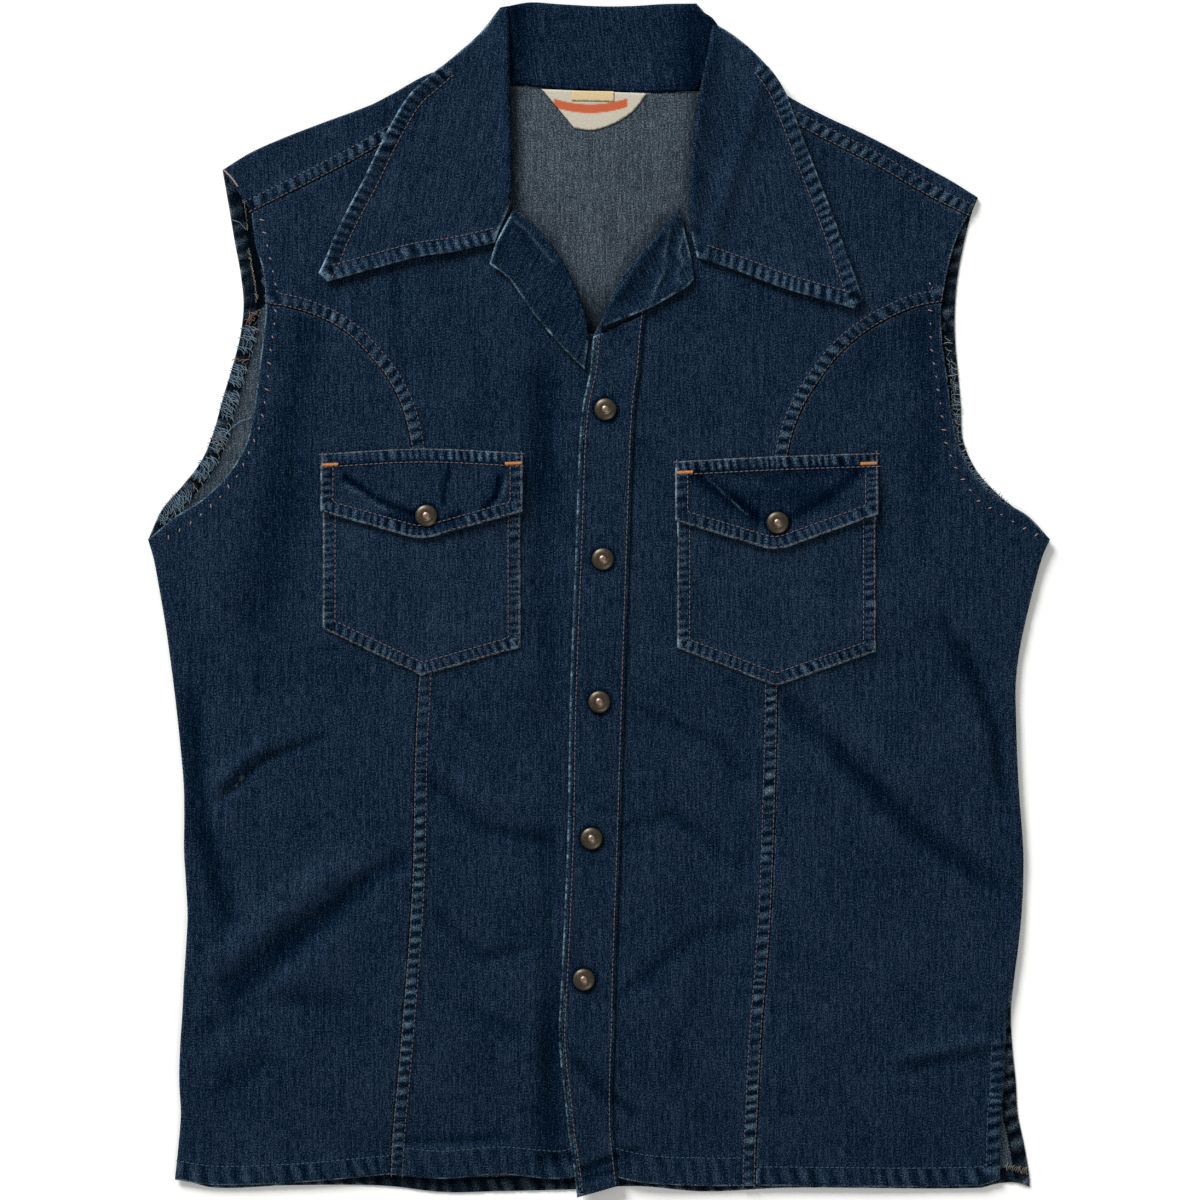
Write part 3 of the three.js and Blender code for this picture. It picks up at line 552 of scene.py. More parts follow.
def shell(
    edge,
    under,
    over,
    pitch,
    turn=0.6,
    borders=(),
    ridges=(),
    grain=0.0,
    wear=0.7,
    faces=(0, 1),
    under_pitch=None,
    tone=level(0.0),
    seed=1,
):
    """A closed cloth between two heights, with a rounded edge. Each border is a line, half a width, a rise
    and a beat: a strip of doubled cloth, sewn down along both sides, that is ropy at that beat, pale where
    it rubs, and darkened along its sewn sides as painted shade. Each ridge is a line, a height, half a width
    and how pale its crest has rubbed; its height also paints a ridge lighter as painted light and a dent
    darker as painted shade."""
    followed = [shifted(edge, 0.45, closed=True), shifted(edge, turn + 0.6, closed=True)]
    for line, half, rise, beat_length in borders:
        line = dense(line, beat_length / 5)[0]
        for side in (-1, 1):
            followed += [shifted(line, side * (half + beside)) for beside in strip_lines]
    for line, height, half, rubbed in ridges:
        line = dense(line, 1.2)[0]
        followed += [line, shifted(line, -half), shifted(line, half)]
    upper, upper_faces = filled(edge, followed, pitch)
    lower, lower_faces = filled(edge, followed[:2], under_pitch or pitch * 2)
    count = len(edge)
    lower_faces = np.where(lower_faces >= count, lower_faces + len(upper) - count, lower_faces)[:, ::-1]
    points = np.vstack([upper, lower[count:]])
    x, up = points.T
    inset, around = nearest(points, edge, closed=True)
    inset[:count] = 0
    profile = np.sqrt(1 - (1 - np.clip(inset / turn, 0, 1)) ** 2)
    tint_and_shade = tone(x, up)
    rubs = wear(x, up) if callable(wear) else wear
    worn = rubs * bell(inset, rim_reach) * (0.8 + 0.5 * uneven(around, 5.0, seed))
    relief = np.zeros(len(points))
    for line, half, rise, beat_length in borders:
        distance, along = nearest(points, line)
        weight = 1 - ease(half - 0.4, half + 0.5, distance)
        within = weight > 0.02
        beat = along / beat_length + 0.6 * uneven(along, 3 * beat_length, seed + 3)
        puff = 0.5 + 0.5 * np.tanh(1.8 * np.sin(2 * math.pi * beat + 0.2 * (inset - half)))
        inner = 1 - ease(half - 1.9, half - 0.2, distance)
        strength = np.clip(0.85 + 0.6 * noise(x, up, 17.0, seed + 4), 0.25, 1.3)
        pulled = bell(distance - half + 0.4, 0.6)
        share = inner * strength * (half > 2) * min(1.0, (broad_half / half) ** 1.6)
        # Roping from the puckers, and painted shade: a dark line along each sewn side of the strip.
        tint_and_shade += np.where(within, share * (1.9 * puff - 1.1) - 0.45 * pulled, 0)
        relief = np.maximum(relief, weight * rise) + puff_rise * share * puff - pull_depth * pulled
        worn *= np.where(within, 0.6 + 0.6 * puff, 1.0)
        most = puff_worn["felled" if rise > 0.5 else "single"]
        worn += most * share * puff * (0.7 + 0.5 * noise(x, up, 2.6, seed + 5))
    for line, height, half, rubbed in ridges:
        distance, along = nearest(points, line)
        relief += max(height, dent_share * height) * bell(distance, half)
        # Painted light on a ridge and painted shade in a dent, set by its height.
        tint_and_shade += min(0.4, height) * bell(distance, half)
        crest = rubbed * bell(distance, 0.5 * half) * (0.8 + 0.5 * uneven(along, 6.0, seed + 6))
        worn = np.maximum(worn, crest)
    bottom, top = under(x, up), over(x, up)
    centre, half_thick = (bottom + top) / 2, (top - bottom) / 2
    above = np.arange(len(points)) < len(upper)
    z = centre + np.where(above, half_thick + relief, -half_thick) * profile
    cos, sin = math.cos(math.radians(grain)), math.sin(math.radians(grain))
    return {
        "points": np.stack([x, up, z], axis=1),
        "faces": np.vstack([upper_faces, lower_faces]),
        "finish": np.repeat(faces, (len(upper_faces), len(lower_faces))),
        "weave": np.stack([x * cos + up * sin + 137 * seed, up * cos - x * sin + 59 * seed, z], axis=1),
        "worn": np.clip(worn, 0, 1),
        "tint_and_shade": np.clip(tint_and_shade, *tint_and_shade_range),
    }


def to_frame(points):
    return (np.asarray(points) - (middle["x"], middle["up"], 0)) / 1000


def store(mesh, name, values):
    """Keep a value or a vector at each of a mesh's points, for its material to read."""
    values = np.asarray(values, dtype=np.float32)
    kind, field = ("FLOAT_VECTOR", "vector") if values.ndim > 1 else ("FLOAT", "value")
    mesh.attributes.new(name, kind, "POINT").data.foreach_set(field, values.ravel())


def ridden(made):
    """The same object, smooth, and part of the vest's one body."""
    made.data.polygons.foreach_set("use_smooth", [True] * len(made.data.polygons))
    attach(made, "root")
    return made


def piece(name, shells, materials):
    """One mesh object of one or more shells, with what its materials read kept at its points."""
    starts = np.cumsum([0] + [len(s["points"]) for s in shells])
    faces = np.vstack([s["faces"] + start for s, start in zip(shells, starts)])
    mesh = bpy.data.meshes.new(name)
    mesh.from_pydata(to_frame(np.vstack([s["points"] for s in shells])).tolist(), [], faces.tolist())
    for kept in ("weave", "worn", "tint_and_shade"):
        store(mesh, kept, np.concatenate([s[kept] for s in shells]))
    for material in materials:
        mesh.materials.append(material)
    finish = np.concatenate([s["finish"] for s in shells]).astype(np.int32)
    mesh.polygons.foreach_set("material_index", finish)
    mesh.update()
    return ridden(placed(name, mesh))


def lay(name, node, shells, edge, materials):
    """A piece of cloth in the place of its solid, which is hidden. Its flat area is worked out from its edge
    and not used.
    """
    made = piece(name, shells, materials)
    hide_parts(node)
    area = abs(signed_area(edge)) / 1e6


# What woven denim shows: its single threads, its streaks and its clouds, with how many millimetres apart they
# are across and along the cloth, how finely they are drawn, and how much they show.
weave_columns = ("across", "along", "detail", "share")
weave_layers = ((0.7, 6.0, 2.0, 0.5), (1.2, 40.0, 2.0, 0.3), (0.7, 0.8, 1.0, 0.95), (30.0, 40.0, 3.0, 0.12))
fine_layer = 2
tint_and_shade_share = 0.34
speck_scale = (1.2, 0.75, 0.0)
speck_range = {"From Min": 0.73, "From Max": 0.83, "To Max": 0.55}


def denim(name, deep, middling, pale, rubbed_off, contrast=1.0):
    """Woven cotton. Indigo-dyed warp threads run up the cloth over a pale weft, and where the indigo has
    rubbed off they show as short light and dark streaks. Undyed cotton in the yarn shows as sparse pale
    specks. A value kept at the points, for roping, unfaded folds and painted shade, makes the cloth darker or
    paler."""
    material, tree = new_material(name)
    at = stored(tree, "weave", "Vector")
    layers = []
    for row in weave_layers:
        drawn = dict(zip(weave_columns, row))
        streaks = cloudy(tree, at, (1 / drawn["across"], 1 / drawn["along"], 0.0), drawn["detail"], 0.55)
        centred = worked_out(tree, "SUBTRACT", streaks, 0.5)
        layers.append(worked_out(tree, "MULTIPLY", centred, drawn["share"] * contrast * 2))
    total = layers[0]
    for other in layers[1:]:
        total = worked_out(tree, "ADD", total, other)
    tinted_and_shaded = worked_out(tree, "MULTIPLY_ADD", stored(tree, "tint_and_shade"), tint_and_shade_share, total)
    specks = cloudy(tree, at, speck_scale, 0.0)
    speck = add(tree, "ShaderNodeMapRange", {"Value": specks, **speck_range}).outputs["Result"]
    flecked = worked_out(tree, "ADD", tinted_and_shaded, speck)
    ramp = add(tree, "ShaderNodeValToRGB", {"Fac": worked_out(tree, "ADD", flecked, 0.5)})
    ramp.color_ramp.elements[0].color = linear(deep)
    ramp.color_ramp.elements[1].color = linear(pale)
    ramp.color_ramp.elements.new(0.48).color = linear(middling)
    worn = stored(tree, "worn")
    rubbed = worked_out(tree, "MULTIPLY_ADD", layers[fine_layer], 1.6, worn)
    kept = worked_out(tree, "MULTIPLY", rubbed, worn, use_clamp=True)
    colour = mixed(tree, kept, ramp.outputs["Color"], linear(rubbed_off))
    coated(tree, colour, total, 0.55, 0.00025, {"Roughness": 0.88, "Specular IOR Level": 0.0})
    return material


# The back. One panel of indigo denim from the hem to the shoulders, where it turns forward. Its grey inner
# face shows in the neck and the armholes.
# Indigo denim's face: dyed warp over undyed weft, a dark blue with fine pale streaks and pale worn edges.
denim_face = denim("indigo_denim_face", "#00030c", "#081828", "#303e50", "#6f8b9c")
# The same cloth's inner face, where the undyed weft lies on top: blue-grey, with darker threads between.
denim_inside = denim("indigo_denim_inside", "#141a20", "#2d363f", "#5c666d", "#a9b2b8", contrast=1.1)
# And the cloth turned in at the cut armholes and the hem: the same denim, near black, partly because none of
# its indigo has faded and partly as painted shade.
unfaded_and_shaded_denim = denim("indigo_denim_unfaded_and_shaded", "#010306", "#040a12", "#16222f", "#8296a4", contrast=0.8)
outside = (denim_face, denim_inside)

turned_in = 8.6
shade_past_turn = 3.6  # above this level the near-black finish reaches this much further past the turned-in edge, as painted shade
shade_past_turn_from = 508.0
turned_places = {
    "armhole_left": ((-261, 382), (-206, 500), (-218, 594)),
    "armhole_right": ((261, 382), (207, 500), (220, 578)),
    "hem": ((-244, 12), (0, 3), (249, 6)),
    "vent_right": ((240, 104), (244, 50), (250, 10)),
}
# Painted shade: the back is darkened along the neck's opening, most at the foot of its V, and in a line
# beside the left armhole's band.
neck_line = np.array(
    [(-54, 690), (-50, 640), (-50, 582), (-43, 564), (-28, 553), (-12.5, 525), (-6, 505), (0, 500)]
    + [(9, 523), (24, 546), (38.5, 563.5), (53, 575), (59, 645), (64, 684)],
    dtype=float,
)
neck_foot = (-3.0, 505.0)
back_edge = smooth_edge(outline_of("back"), 2.5)
turned_lines = {where: stretch(back_edge, *places) for where, places in turned_places.items()}


def back_painted_shade(x, up):
    beside_neck = bell(off(neck_line, x, up), 5.0)
    foot = bell(np.hypot(x - neck_foot[0], up - neck_foot[1]), 16.0)
    beside_band = bell(off(turned_lines["armhole_left"], x, up) - turned_in - 0.9, 1.5)
    return -0.8 * beside_neck - 1.0 * foot - 0.9 * beside_band


back_shell = shell(
    back_edge,
    back_under,
    higher(back_under, cloth),
    pitch=3.4,
    borders=[strip(line, turned_in / 2, 0.15, 9.0) for line in turned_lines.values()],
    under_pitch=6.0,
    tone=back_painted_shade,
    wear=0.6,
)
# Painted shade: the near-black finish covers each turned-in edge, and reaches further at the armholes' tops.
centres = back_shell["points"][back_shell["faces"]].mean(axis=1)
for line in turned_lines.values():
    reach = turned_in + shade_past_turn * ease(shade_past_turn_from, shade_past_turn_from + 12, centres[:, 1])
    within = (nearest(centres[:, :2], line)[0] < reach) & (back_shell["finish"] == 0)
    back_shell["finish"][within] = 2

# The front panels, two on each side of the closure. Outside denim, cut as a side panel and a centre panel
# that a flat-felled princess seam joins, with a narrow hem. The right front laps over the left one.
front_pitch = 2.1
seam_half = 3.75
seam_rise = 0.7
seam_beat = 6.2  # how far apart the seam's puckers are
hem_half = {"centre": 8.4, "side": 5.8}
hem_rise = 0.45
hem_beat = 9.0
vent_half = 4.3
vent_row = 8.0
grid_pitch = 21.0
under_edge_levels = (1, 11, 35, 68, 92, 138, 208, 290, 383, 439, 463, 484, 499)
under_edge_places = (7, 6, 3, 2, 3, 4, 6, 9, 12, 13, 14, 16, 17)  # the left front's edge at those levels


def front_under(x, up):
    return back_under(x, up) + layer + air(x, up)


def right_front_under(x, up):
    edge = np.interp(up, under_edge_levels, under_edge_places)
    return front_under(x, up) + layer * (1 - ease(edge + grid_pitch, edge + 3 * grid_pitch, x))


def on_front(side):
    return front_under if side < 0 else right_front_under


# The lines that a front's edges are made of, each from one place, by way of a second, to a third.
front_lines = {
    -1: {
        "centre": {
            "seam": ((-200, 525), (-103, 250), (-121, 14)),
            "hem": ((-121, 14), (-60, 14), (6, 11)),
            "arm": ((-200, 525), (-200, 548), (-204, 570)),
            "shoulder": ((-204, 570), (-140, 604), (-72, 638)),
        },
        "side": {
            "hem": ((-245, 12), (-180, 9), (-121, 14)),
            "arm": ((-261, 382), (-200, 465), (-200, 525)),
        },
    },
    1: {
        "centre": {
            "seam": ((207, 525), (99, 250), (91, 7.5)),
            "hem": ((91, 7.5), (50, 7.5), (-12, 7.5)),
            "arm": ((207, 525), (209, 548), (213, 570)),
            "shoulder": ((213, 570), (140, 610), (78, 638)),
        },
        "side": {
            "hem": ((232, 8), (180, 7.5), (91, 7.5)),
            "arm": ((261.5, 382), (204, 465), (207, 525)),
            "vent": ((232, 8), (235, 50), (236, 90)),
        },
    },
}
fronts = {}
for side, word in sides:
    under = on_front(side)
    for kind, seed in (("centre", 2 + side), ("side", 5 + side)):
        edge = smooth_edge(outline_of(f"front_{kind}_{word}"), 2.2)
        own = {name: stretch(edge, *places) for name, places in front_lines[side][kind].items()}
        borders = []
        if "seam" in own:
            borders.append(strip(own["seam"], seam_half, seam_rise, seam_beat))
        borders.append(strip(own["hem"], hem_half[kind], hem_rise, hem_beat))
        if "vent" in own:
            borders.append(strip(own["vent"], vent_half, 0.4, seam_beat))
        made = shell(
            edge,
            under,
            higher(under, cloth),
            pitch=front_pitch,
            borders=borders,
            ridges=((shifted(own["hem"], 0.4), 0.0, 0.9, 0.8), (shifted(own["arm"], 0.4), 0.0, 0.8, 0.7)),
            wear=0.35,
            tone=fold_fade_and_shade,
            seed=seed,
            under_pitch=6.0,
        )
        lay(f"front_{kind}_{word}_cloth", f"front_{kind}_{word}", [made], edge, outside)
        fronts[side, kind] = own

# The shoulders. The back's cloth turns forward over each shoulder, face up, and is felled to the front in a
# seam sewn with two rows of tan cotton thread.
shoulder_turns = {-1: ((-218, 596), (-155, 625), (-78, 656)), 1: ((220, 580), (149, 619), (82, 653))}
shoulder_seams = {}
back_shells = [back_shell]
for side, word in sides:
    joined = shifted(fronts[side, "centre"]["shoulder"], -gap)
    seam = shifted(joined, -seam_half)
    shoulder_seams[side] = seam
    back_shells.append(
        shell(
            np.vstack([stretch(back_edge, *shoulder_turns[side]), joined[::-1]]),
            front_under,
            higher(front_under, cloth),
            pitch=1.8,
            borders=((seam, seam_half, seam_rise, seam_beat),),
            faces=(1, 0),
            wear=0.3,
            seed=9 + side,
        )
    )
back_finishes = (denim_inside, denim_face, unfaded_and_shaded_denim)
lay("back_cloth", "back", back_shells, back_edge, back_finishes)

# The sewing. Tan polyester-cotton topstitching, 3 mm a stitch, laid by machine in rows on the finished cloth.
# Trees of nodes strew the stitches, and later the frayed ends, along lines.
strewn_values = {
    **dict.fromkeys(("Pitch", "Length", "Width", "Lean", "Spread", "Rise"), "NodeSocketFloat"),
    "Seed": "NodeSocketInt",
    "Thread": "NodeSocketMaterial",
}


def stitch_shape(tree, given, turned, chance):
    """A short round bead of thread, pulled into the cloth at both ends."""
    bead = add(tree, "GeometryNodeMeshUVSphere", {"Segments": 5, "Rings": 4, "Radius": 0.5}).outputs["Mesh"]
    links = {"X": given["Length"], "Y": given["Width"], "Z": given["Width"]}
    size = add(tree, "ShaderNodeCombineXYZ", links).outputs[0]
    stitch = add(tree, "GeometryNodeTransform", {"Geometry": bead, "Scale": size}).outputs[0]
    share = chance(worked_out(tree, "SUBTRACT", 1.0, given["Spread"]), 1.1)
    return stitch, turned, add(tree, "ShaderNodeCombineXYZ", {"X": share, "Y": 1.0, "Z": 1.0}).outputs[0]


def yarn_shape(tree, given, turned, chance):
    """A bent end of yarn that lifts off the cloth."""
    bow = {"Resolution": 5, "Start": (-0.5, 0.0, 0.0), "Middle": (0.05, 0.32, 0.0), "End": (0.5, 0.0, 0.0)}
    bent = add(tree, "GeometryNodeCurveQuadraticBezier", bow).outputs[0]
    long = add(tree, "GeometryNodeTransform", {"Geometry": bent, "Scale": given["Length"]}).outputs[0]
    ring = add(tree, "GeometryNodeCurvePrimitiveCircle", {"Resolution": 4, "Radius": given["Width"]})
    links = {"Curve": long, "Profile Curve": ring.outputs[0], "Fill Caps": True}
    yarn = add(tree, "GeometryNodeCurveToMesh", links).outputs[0]
    upward = add(tree, "ShaderNodeCombineXYZ", {"Z": chance(-0.02, given["Rise"])}).outputs[0]
    aimed = add(tree, "ShaderNodeVectorMath", {0: turned, 1: upward}, operation="ADD").outputs[0]
    return yarn, aimed, chance(0.45, 1.25)


def strewing(name, shape_of):
    """A tree that strews one shape along lines, each copy turned by a lean that strays by the spread."""
    tree = bpy.data.node_groups.new(name, "GeometryNodeTree")
    tree.interface.new_socket("Geometry", in_out="INPUT", socket_type="NodeSocketGeometry")
    for label, kind in strewn_values.items():
        tree.interface.new_socket(label, in_out="INPUT", socket_type=kind)
    tree.interface.new_socket("Geometry", in_out="OUTPUT", socket_type="NodeSocketGeometry")
    given = add(tree, "NodeGroupInput").outputs

    def chance(low, high):
        return add(tree, "FunctionNodeRandomValue", {2: low, 3: high, "Seed": given["Seed"]}).outputs[1]

    path = add(tree, "GeometryNodeMeshToCurve", {"Mesh": given["Geometry"]}).outputs[0]
    links = {"Curve": path, "Length": given["Pitch"]}
    spaced = add(tree, "GeometryNodeResampleCurve", links, mode="LENGTH").outputs[0]
    sway = chance(worked_out(tree, "MULTIPLY", given["Spread"], -1.0), given["Spread"])
    along = add(tree, "GeometryNodeInputTangent").outputs[0]
    links = {"Vector": along, "Angle": worked_out(tree, "ADD", given["Lean"], sway)}
    turned = add(tree, "ShaderNodeVectorRotate", links, rotation_type="Z_AXIS").outputs[0]
    shape, aim, size = shape_of(tree, given, turned, chance)
    facing = add(tree, "FunctionNodeAlignRotationToVector", {"Vector": aim}, axis="X").outputs[0]
    links = {"Points": spaced, "Instance": shape, "Rotation": facing, "Scale": size}
    copies = add(tree, "GeometryNodeInstanceOnPoints", links).outputs[0]
    solid = add(tree, "GeometryNodeRealizeInstances", {"Geometry": copies}).outputs[0]
    links = {"Geometry": solid, "Material": given["Thread"]}
    add(tree, "NodeGroupOutput", {"Geometry": add(tree, "GeometryNodeSetMaterial", links).outputs[0]})
    return tree


stitches = strewing("row_of_stitches", stitch_shape)
frayed = strewing("frayed_threads", yarn_shape)


def strew(name, tree, lines, slot, **values):
    """A plain mesh that a tree makes along lines of points, given in millimetres with their height."""
    starts = np.cumsum([0] + [len(line) for line in lines])
    edges = [(i, i + 1) for a, b in zip(starts, starts[1:]) for i in range(a, b - 1)]
    path = bpy.data.meshes.new(name)
    path.from_pydata(to_frame(np.vstack(lines)).tolist(), edges, [])
    made = placed(name, path)
    grown = made.modifiers.new("grown", "NODES")
    grown.node_group = tree
    identifiers = {s.name.lower(): s.identifier for s in tree.interface.items_tree if s.in_out == "INPUT"}
    for label, value in values.items():
        grown[identifiers[label]] = value / 1000 if label in ("pitch", "length", "width") else value
    ready = made.evaluated_get(bpy.context.evaluated_depsgraph_get())
    made.data = bpy.data.meshes.new_from_object(ready)
    made.modifiers.clear()
    ridden(made)


def lifted(line, over, by):
    x, up = np.asarray(line, dtype=float).T
    return np.stack([x, up, over(x, up) + by], axis=1)


def thread_material(name, colour, darker):
    """Spun thread: two plies twisted together, which show as fine slanted ridges, dull and without shine."""
    material, tree = new_material(name)
    at = add(tree, "ShaderNodeTexCoord").outputs["Object"]
    fibres = cloudy(tree, at, (1400.0, 1400.0, 1400.0), 2.0)
    shown = mixed(tree, fibres, linear(darker), linear(colour))
    coated(tree, shown, fibres, 0.4, 0.0001, {"Roughness": 0.8, "Specular IOR Level": 0.2})
    return material


tan_thread = thread_material("tan_topstitch_thread", "#786a6c", "#38343b")
# The hem and the vent are sewn in blue, which has faded as the cloth has.
blue_thread = thread_material("faded_blue_hem_thread", "#4c5f6e", "#1b2733")
orange_thread = thread_material("orange_tack_thread", "#d08a4a", "#8a5a34")
hand_thread = thread_material("pink_hand_sewing_thread", "#a8908c", "#5c4d4d")
row_near = 0.6
row_far = 7.0
# How far the middle of a stitch lies above the plain cloth.
seats = {"seam": 0.42, "hem": 0.3, "placket": 0.18, "pocket": 0.25, "flap": 0.32, "tack": 0.55, "collar": 0.2}


def sew(name, lines, thread=tan_thread, **other):
    values = {"pitch": 2.9, "length": 2.75, "width": 0.56, "lean": 0.0, "spread": 0.12, **other}
    strew(name, stitches, lines, "denim", seed=len(name), thread=thread, **values)


front_rows = []
hem_rows = []
for side, word in sides:
    over = higher(on_front(side), cloth)
    seam = fronts[side, "centre"]["seam"]
    front_rows += [lifted(inside(seam, row), over, seats["seam"]) for row in (row_near, row_far)]
    for kind, half in hem_half.items():
        row = inside(fronts[side, kind]["hem"], 2 * half - 0.6)
        hem_rows.append(lifted(row, over, seats["hem"]))
    for distance in (seam_half - row_near, row_near - seam_half):
        line = shifted(shoulder_seams[side], distance)
        front_rows.append(lifted(line, higher(front_under, cloth), seats["seam"]))
hem_rows.append(lifted(inside(fronts[1, "side"]["vent"], vent_row), over, seats["hem"]))
sew("front_stitches", front_rows)
sew("hem_stitches", hem_rows, blue_thread)

# The facings. The front edges' facings turn out beside the neck as two small lapels, the same dark denim,
# puffed along their roll and lifted along their free edge, which has rubbed pale. The seams inside press up
# as ridges, rubbed pale and painted lighter as painted light.
facing_lines = {
    -1: {
        "roll": [(-49, 573), (-43, 564), (-36, 560), (-28, 553), (-19, 540), (-12.5, 525)]
        + [(-7.5, 512), (-6, 500)],
        "free": [(-8, 480), (-15, 486.5), (-28, 500.5), (-37.5, 512), (-45, 523), (-52, 532.5), (-63, 541)]
        + [(-59.5, 553)],
        "ridges": [[(-48.5, 566), (-41.5, 560), (-36.5, 554), (-31, 547), (-25, 541)]],
    },
    1: {
        "roll": [(45.5, 572), (38.5, 563.5), (30.5, 554), (24, 546), (16, 533.5), (9, 523), (3.5, 513)]
        + [(-0.5, 503.5)],
        "free": [(8, 507), (20, 511.5), (30.5, 516), (43, 523), (52, 528.5), (55, 532.5), (54, 542)]
        + [(50, 559.5), (48, 568)],
        "ridges": [
            [(41, 560), (38.7, 548), (38.5, 538), (33.5, 527.5), (29.5, 517)],
            [(48.5, 556), (46.5, 548), (49.5, 541), (45.5, 535), (47.5, 530)],
        ],
    },
}
facing_puff = 3.0
facing_lift = 2.2
for side, word in sides:
    own = facing_lines[side]
    roll, free = np.array(own["roll"]), np.array(own["free"])
    corners = np.vstack([roll, free])
    edge = smooth_edge(corners if signed_area(corners) > 0 else corners[::-1], 1.2, sharp=32)
    under = raised(higher(on_front(side), layer), free, facing_lift, 5.0)
    made = shell(
        edge,
        under,
        raised(higher(under, cloth), roll, facing_puff, 6.5),
        pitch=1.2,
        turn=1.2,
        ridges=[(np.array(line), 1.5, 1.6, 0.32) for line in own["ridges"]],
        seed=21 + side,
        grain=25.0 * side,
        tone=level(-0.2),
        wear=lambda x, up: 0.95 - 0.75 * (off(roll, x, up) < 3.0),
    )
    lay(f"facing_{word}_cloth", f"facing_{word}", [made], edge, outside)

# The placket. A folded strip of denim on the right front's edge, sewn down along both sides, that carries the
# snaps. Its corners at the foot lie where the photo has them.
pucker_beat = 4.6
snap_radius = 6.4
snap_places = {
    "snap_1": (4.0, 457.0),
    "snap_2": (2.5, 370.5),
    "snap_3": (0.5, 288.0),
    "snap_4": (-4.0, 209.0),
    "snap_5": (-8.5, 127.5),
    "pocket_snap_left": (-99.5, 395.5),
    "pocket_snap_right": (103.5, 391.5),
}
placket_feet = ((-12.4, 1.0), (12.2, 8.0))
layers_show = {"above": 440, "below": 120}  # the edges of its layers show side by side beyond these levels


def shade_round_snaps(x, up):
    """Painted shade: the cloth is darkened in a ring round each snap."""
    reach = np.min([np.hypot(x - place[0], up - place[1]) for place in snap_places.values()], axis=0)
    return -1.1 * bell(reach - snap_radius, 1.5)


placket_corners = outline_of("placket")
for place in placket_feet:
    placket_corners[int(np.argmin(np.hypot(*(placket_corners - place).T)))] = place
placket_edge = smooth_edge(placket_corners, 1.7)
placket_under = higher(right_front_under, layer)
placket_over = higher(placket_under, placket_cloth)
placket_left = stretch(placket_edge, (-3, 499), (-18, 208), (-11, 1))
placket_right = stretch(placket_edge, (27.5, 513), (13, 208), (12.2, 9))
second = shifted(placket_left, 2.4)
layered = [second[second[:, 1] > layers_show["above"]], second[second[:, 1] < layers_show["below"]]]
placket = shell(
    placket_edge,
    placket_under,
    placket_over,
    pitch=1.6,
    turn=0.9,
    borders=(strip(placket_left, 1.7, 0.15, pucker_beat), strip(placket_right, 1.1, 0.12, pucker_beat)),
    ridges=[
        *((line, 0.25, 0.7, 0.75) for line in layered),
        # Beside each layer's pale edge, a dark dent line that is painted shade.
        *((shifted(line, -1.1), -0.7, 0.5, 0.0) for line in layered),
    ],
    seed=31,
    tone=lambda x, up: fold_fade_and_shade(x, up) + shade_round_snaps(x, up),
    wear=lambda x, up: 0.85 - 0.7 * ease(-4, 4, x),
)
lay("placket_cloth", "placket", [placket], placket_edge, outside)
placket_rows = ((placket_left, 3.5), (placket_right, 2.2))
rows = [lifted(shifted(line, row), placket_over, seats["placket"]) for line, row in placket_rows]
sew("placket_stitches", rows)

# The chest pockets and their flaps. Each pocket is one denim patch with a pointed foot, sewn on with two
# rows, and its flap is two cloths with a pointed edge, held by a snap. Orange thread tacks the flap's two
# upper corners.
flap_lift = 1.0  # how far its loose edge stands off the pocket
flap_overhang = 1.2
pocket_size_columns = ("side", "left", "point", "right", "point_up", "top")
pocket_sizes = ((-1, -159.5, -102.5, -45, 303, 407), (1, 45.5, 102.5, 160.5, 297, 401))
flap_size_columns = ("left_up", "middle_up", "right_up", "point_low")
flap_sizes = ((431.5, 434.5, 432, 381.5), (427, 430, 432, 375))
border_half = 3.7
pocket_rows = (0.9, 7.2)
tack = {"pitch": 0.42, "length": 2.3, "width": 0.55, "lean": 1.35, "spread": 0.15}
tack_run = (9.0, 0.4)
flap_tops = {}
# Where the flap buckles between its snap and its sewn corners: lines, heights, half widths and how pale. A
# height sets the relief, and paints a dent darker as painted shade and a ridge lighter as painted light.
buckles = {
    -1: (
        ([(-147, 417.5), (-139.5, 413.5), (-129.5, 406), (-118, 400.5), (-107, 397)], -1.3, 2.0, 0.0),
        ([(-146, 412), (-137, 408), (-128, 401.5), (-118, 396.5)], 0.7, 2.2, 0.25),
        ([(-86, 423.5), (-88.5, 413.5), (-89.5, 403.5)], -1.1, 1.5, 0.0),
        ([(-57.5, 417), (-59, 407), (-66, 400)], -1.4, 1.9, 0.0),
        ([(-53.5, 416), (-55.5, 406), (-61, 399.5)], 0.5, 1.6, 0.3),
        ([(-120, 396), (-108, 391), (-92, 391), (-80, 396)], -0.9, 3.0, 0.0),
    ),
    1: (
        ([(56, 419), (65, 413), (77, 405.5), (92, 394)], -1.1, 4.0, 0.0),
        ([(150, 421), (138, 410), (126, 402.5), (110, 394.5)], -0.9, 3.2, 0.0),
        ([(62, 424), (100, 419), (148, 424)], -0.5, 5.0, 0.0),
        ([(80, 402), (100, 406), (128, 408)], -0.5, 7.0, 0.0),
        ([(62, 418), (73, 408), (86, 396)], 0.5, 1.2, 0.35),
    ),
}
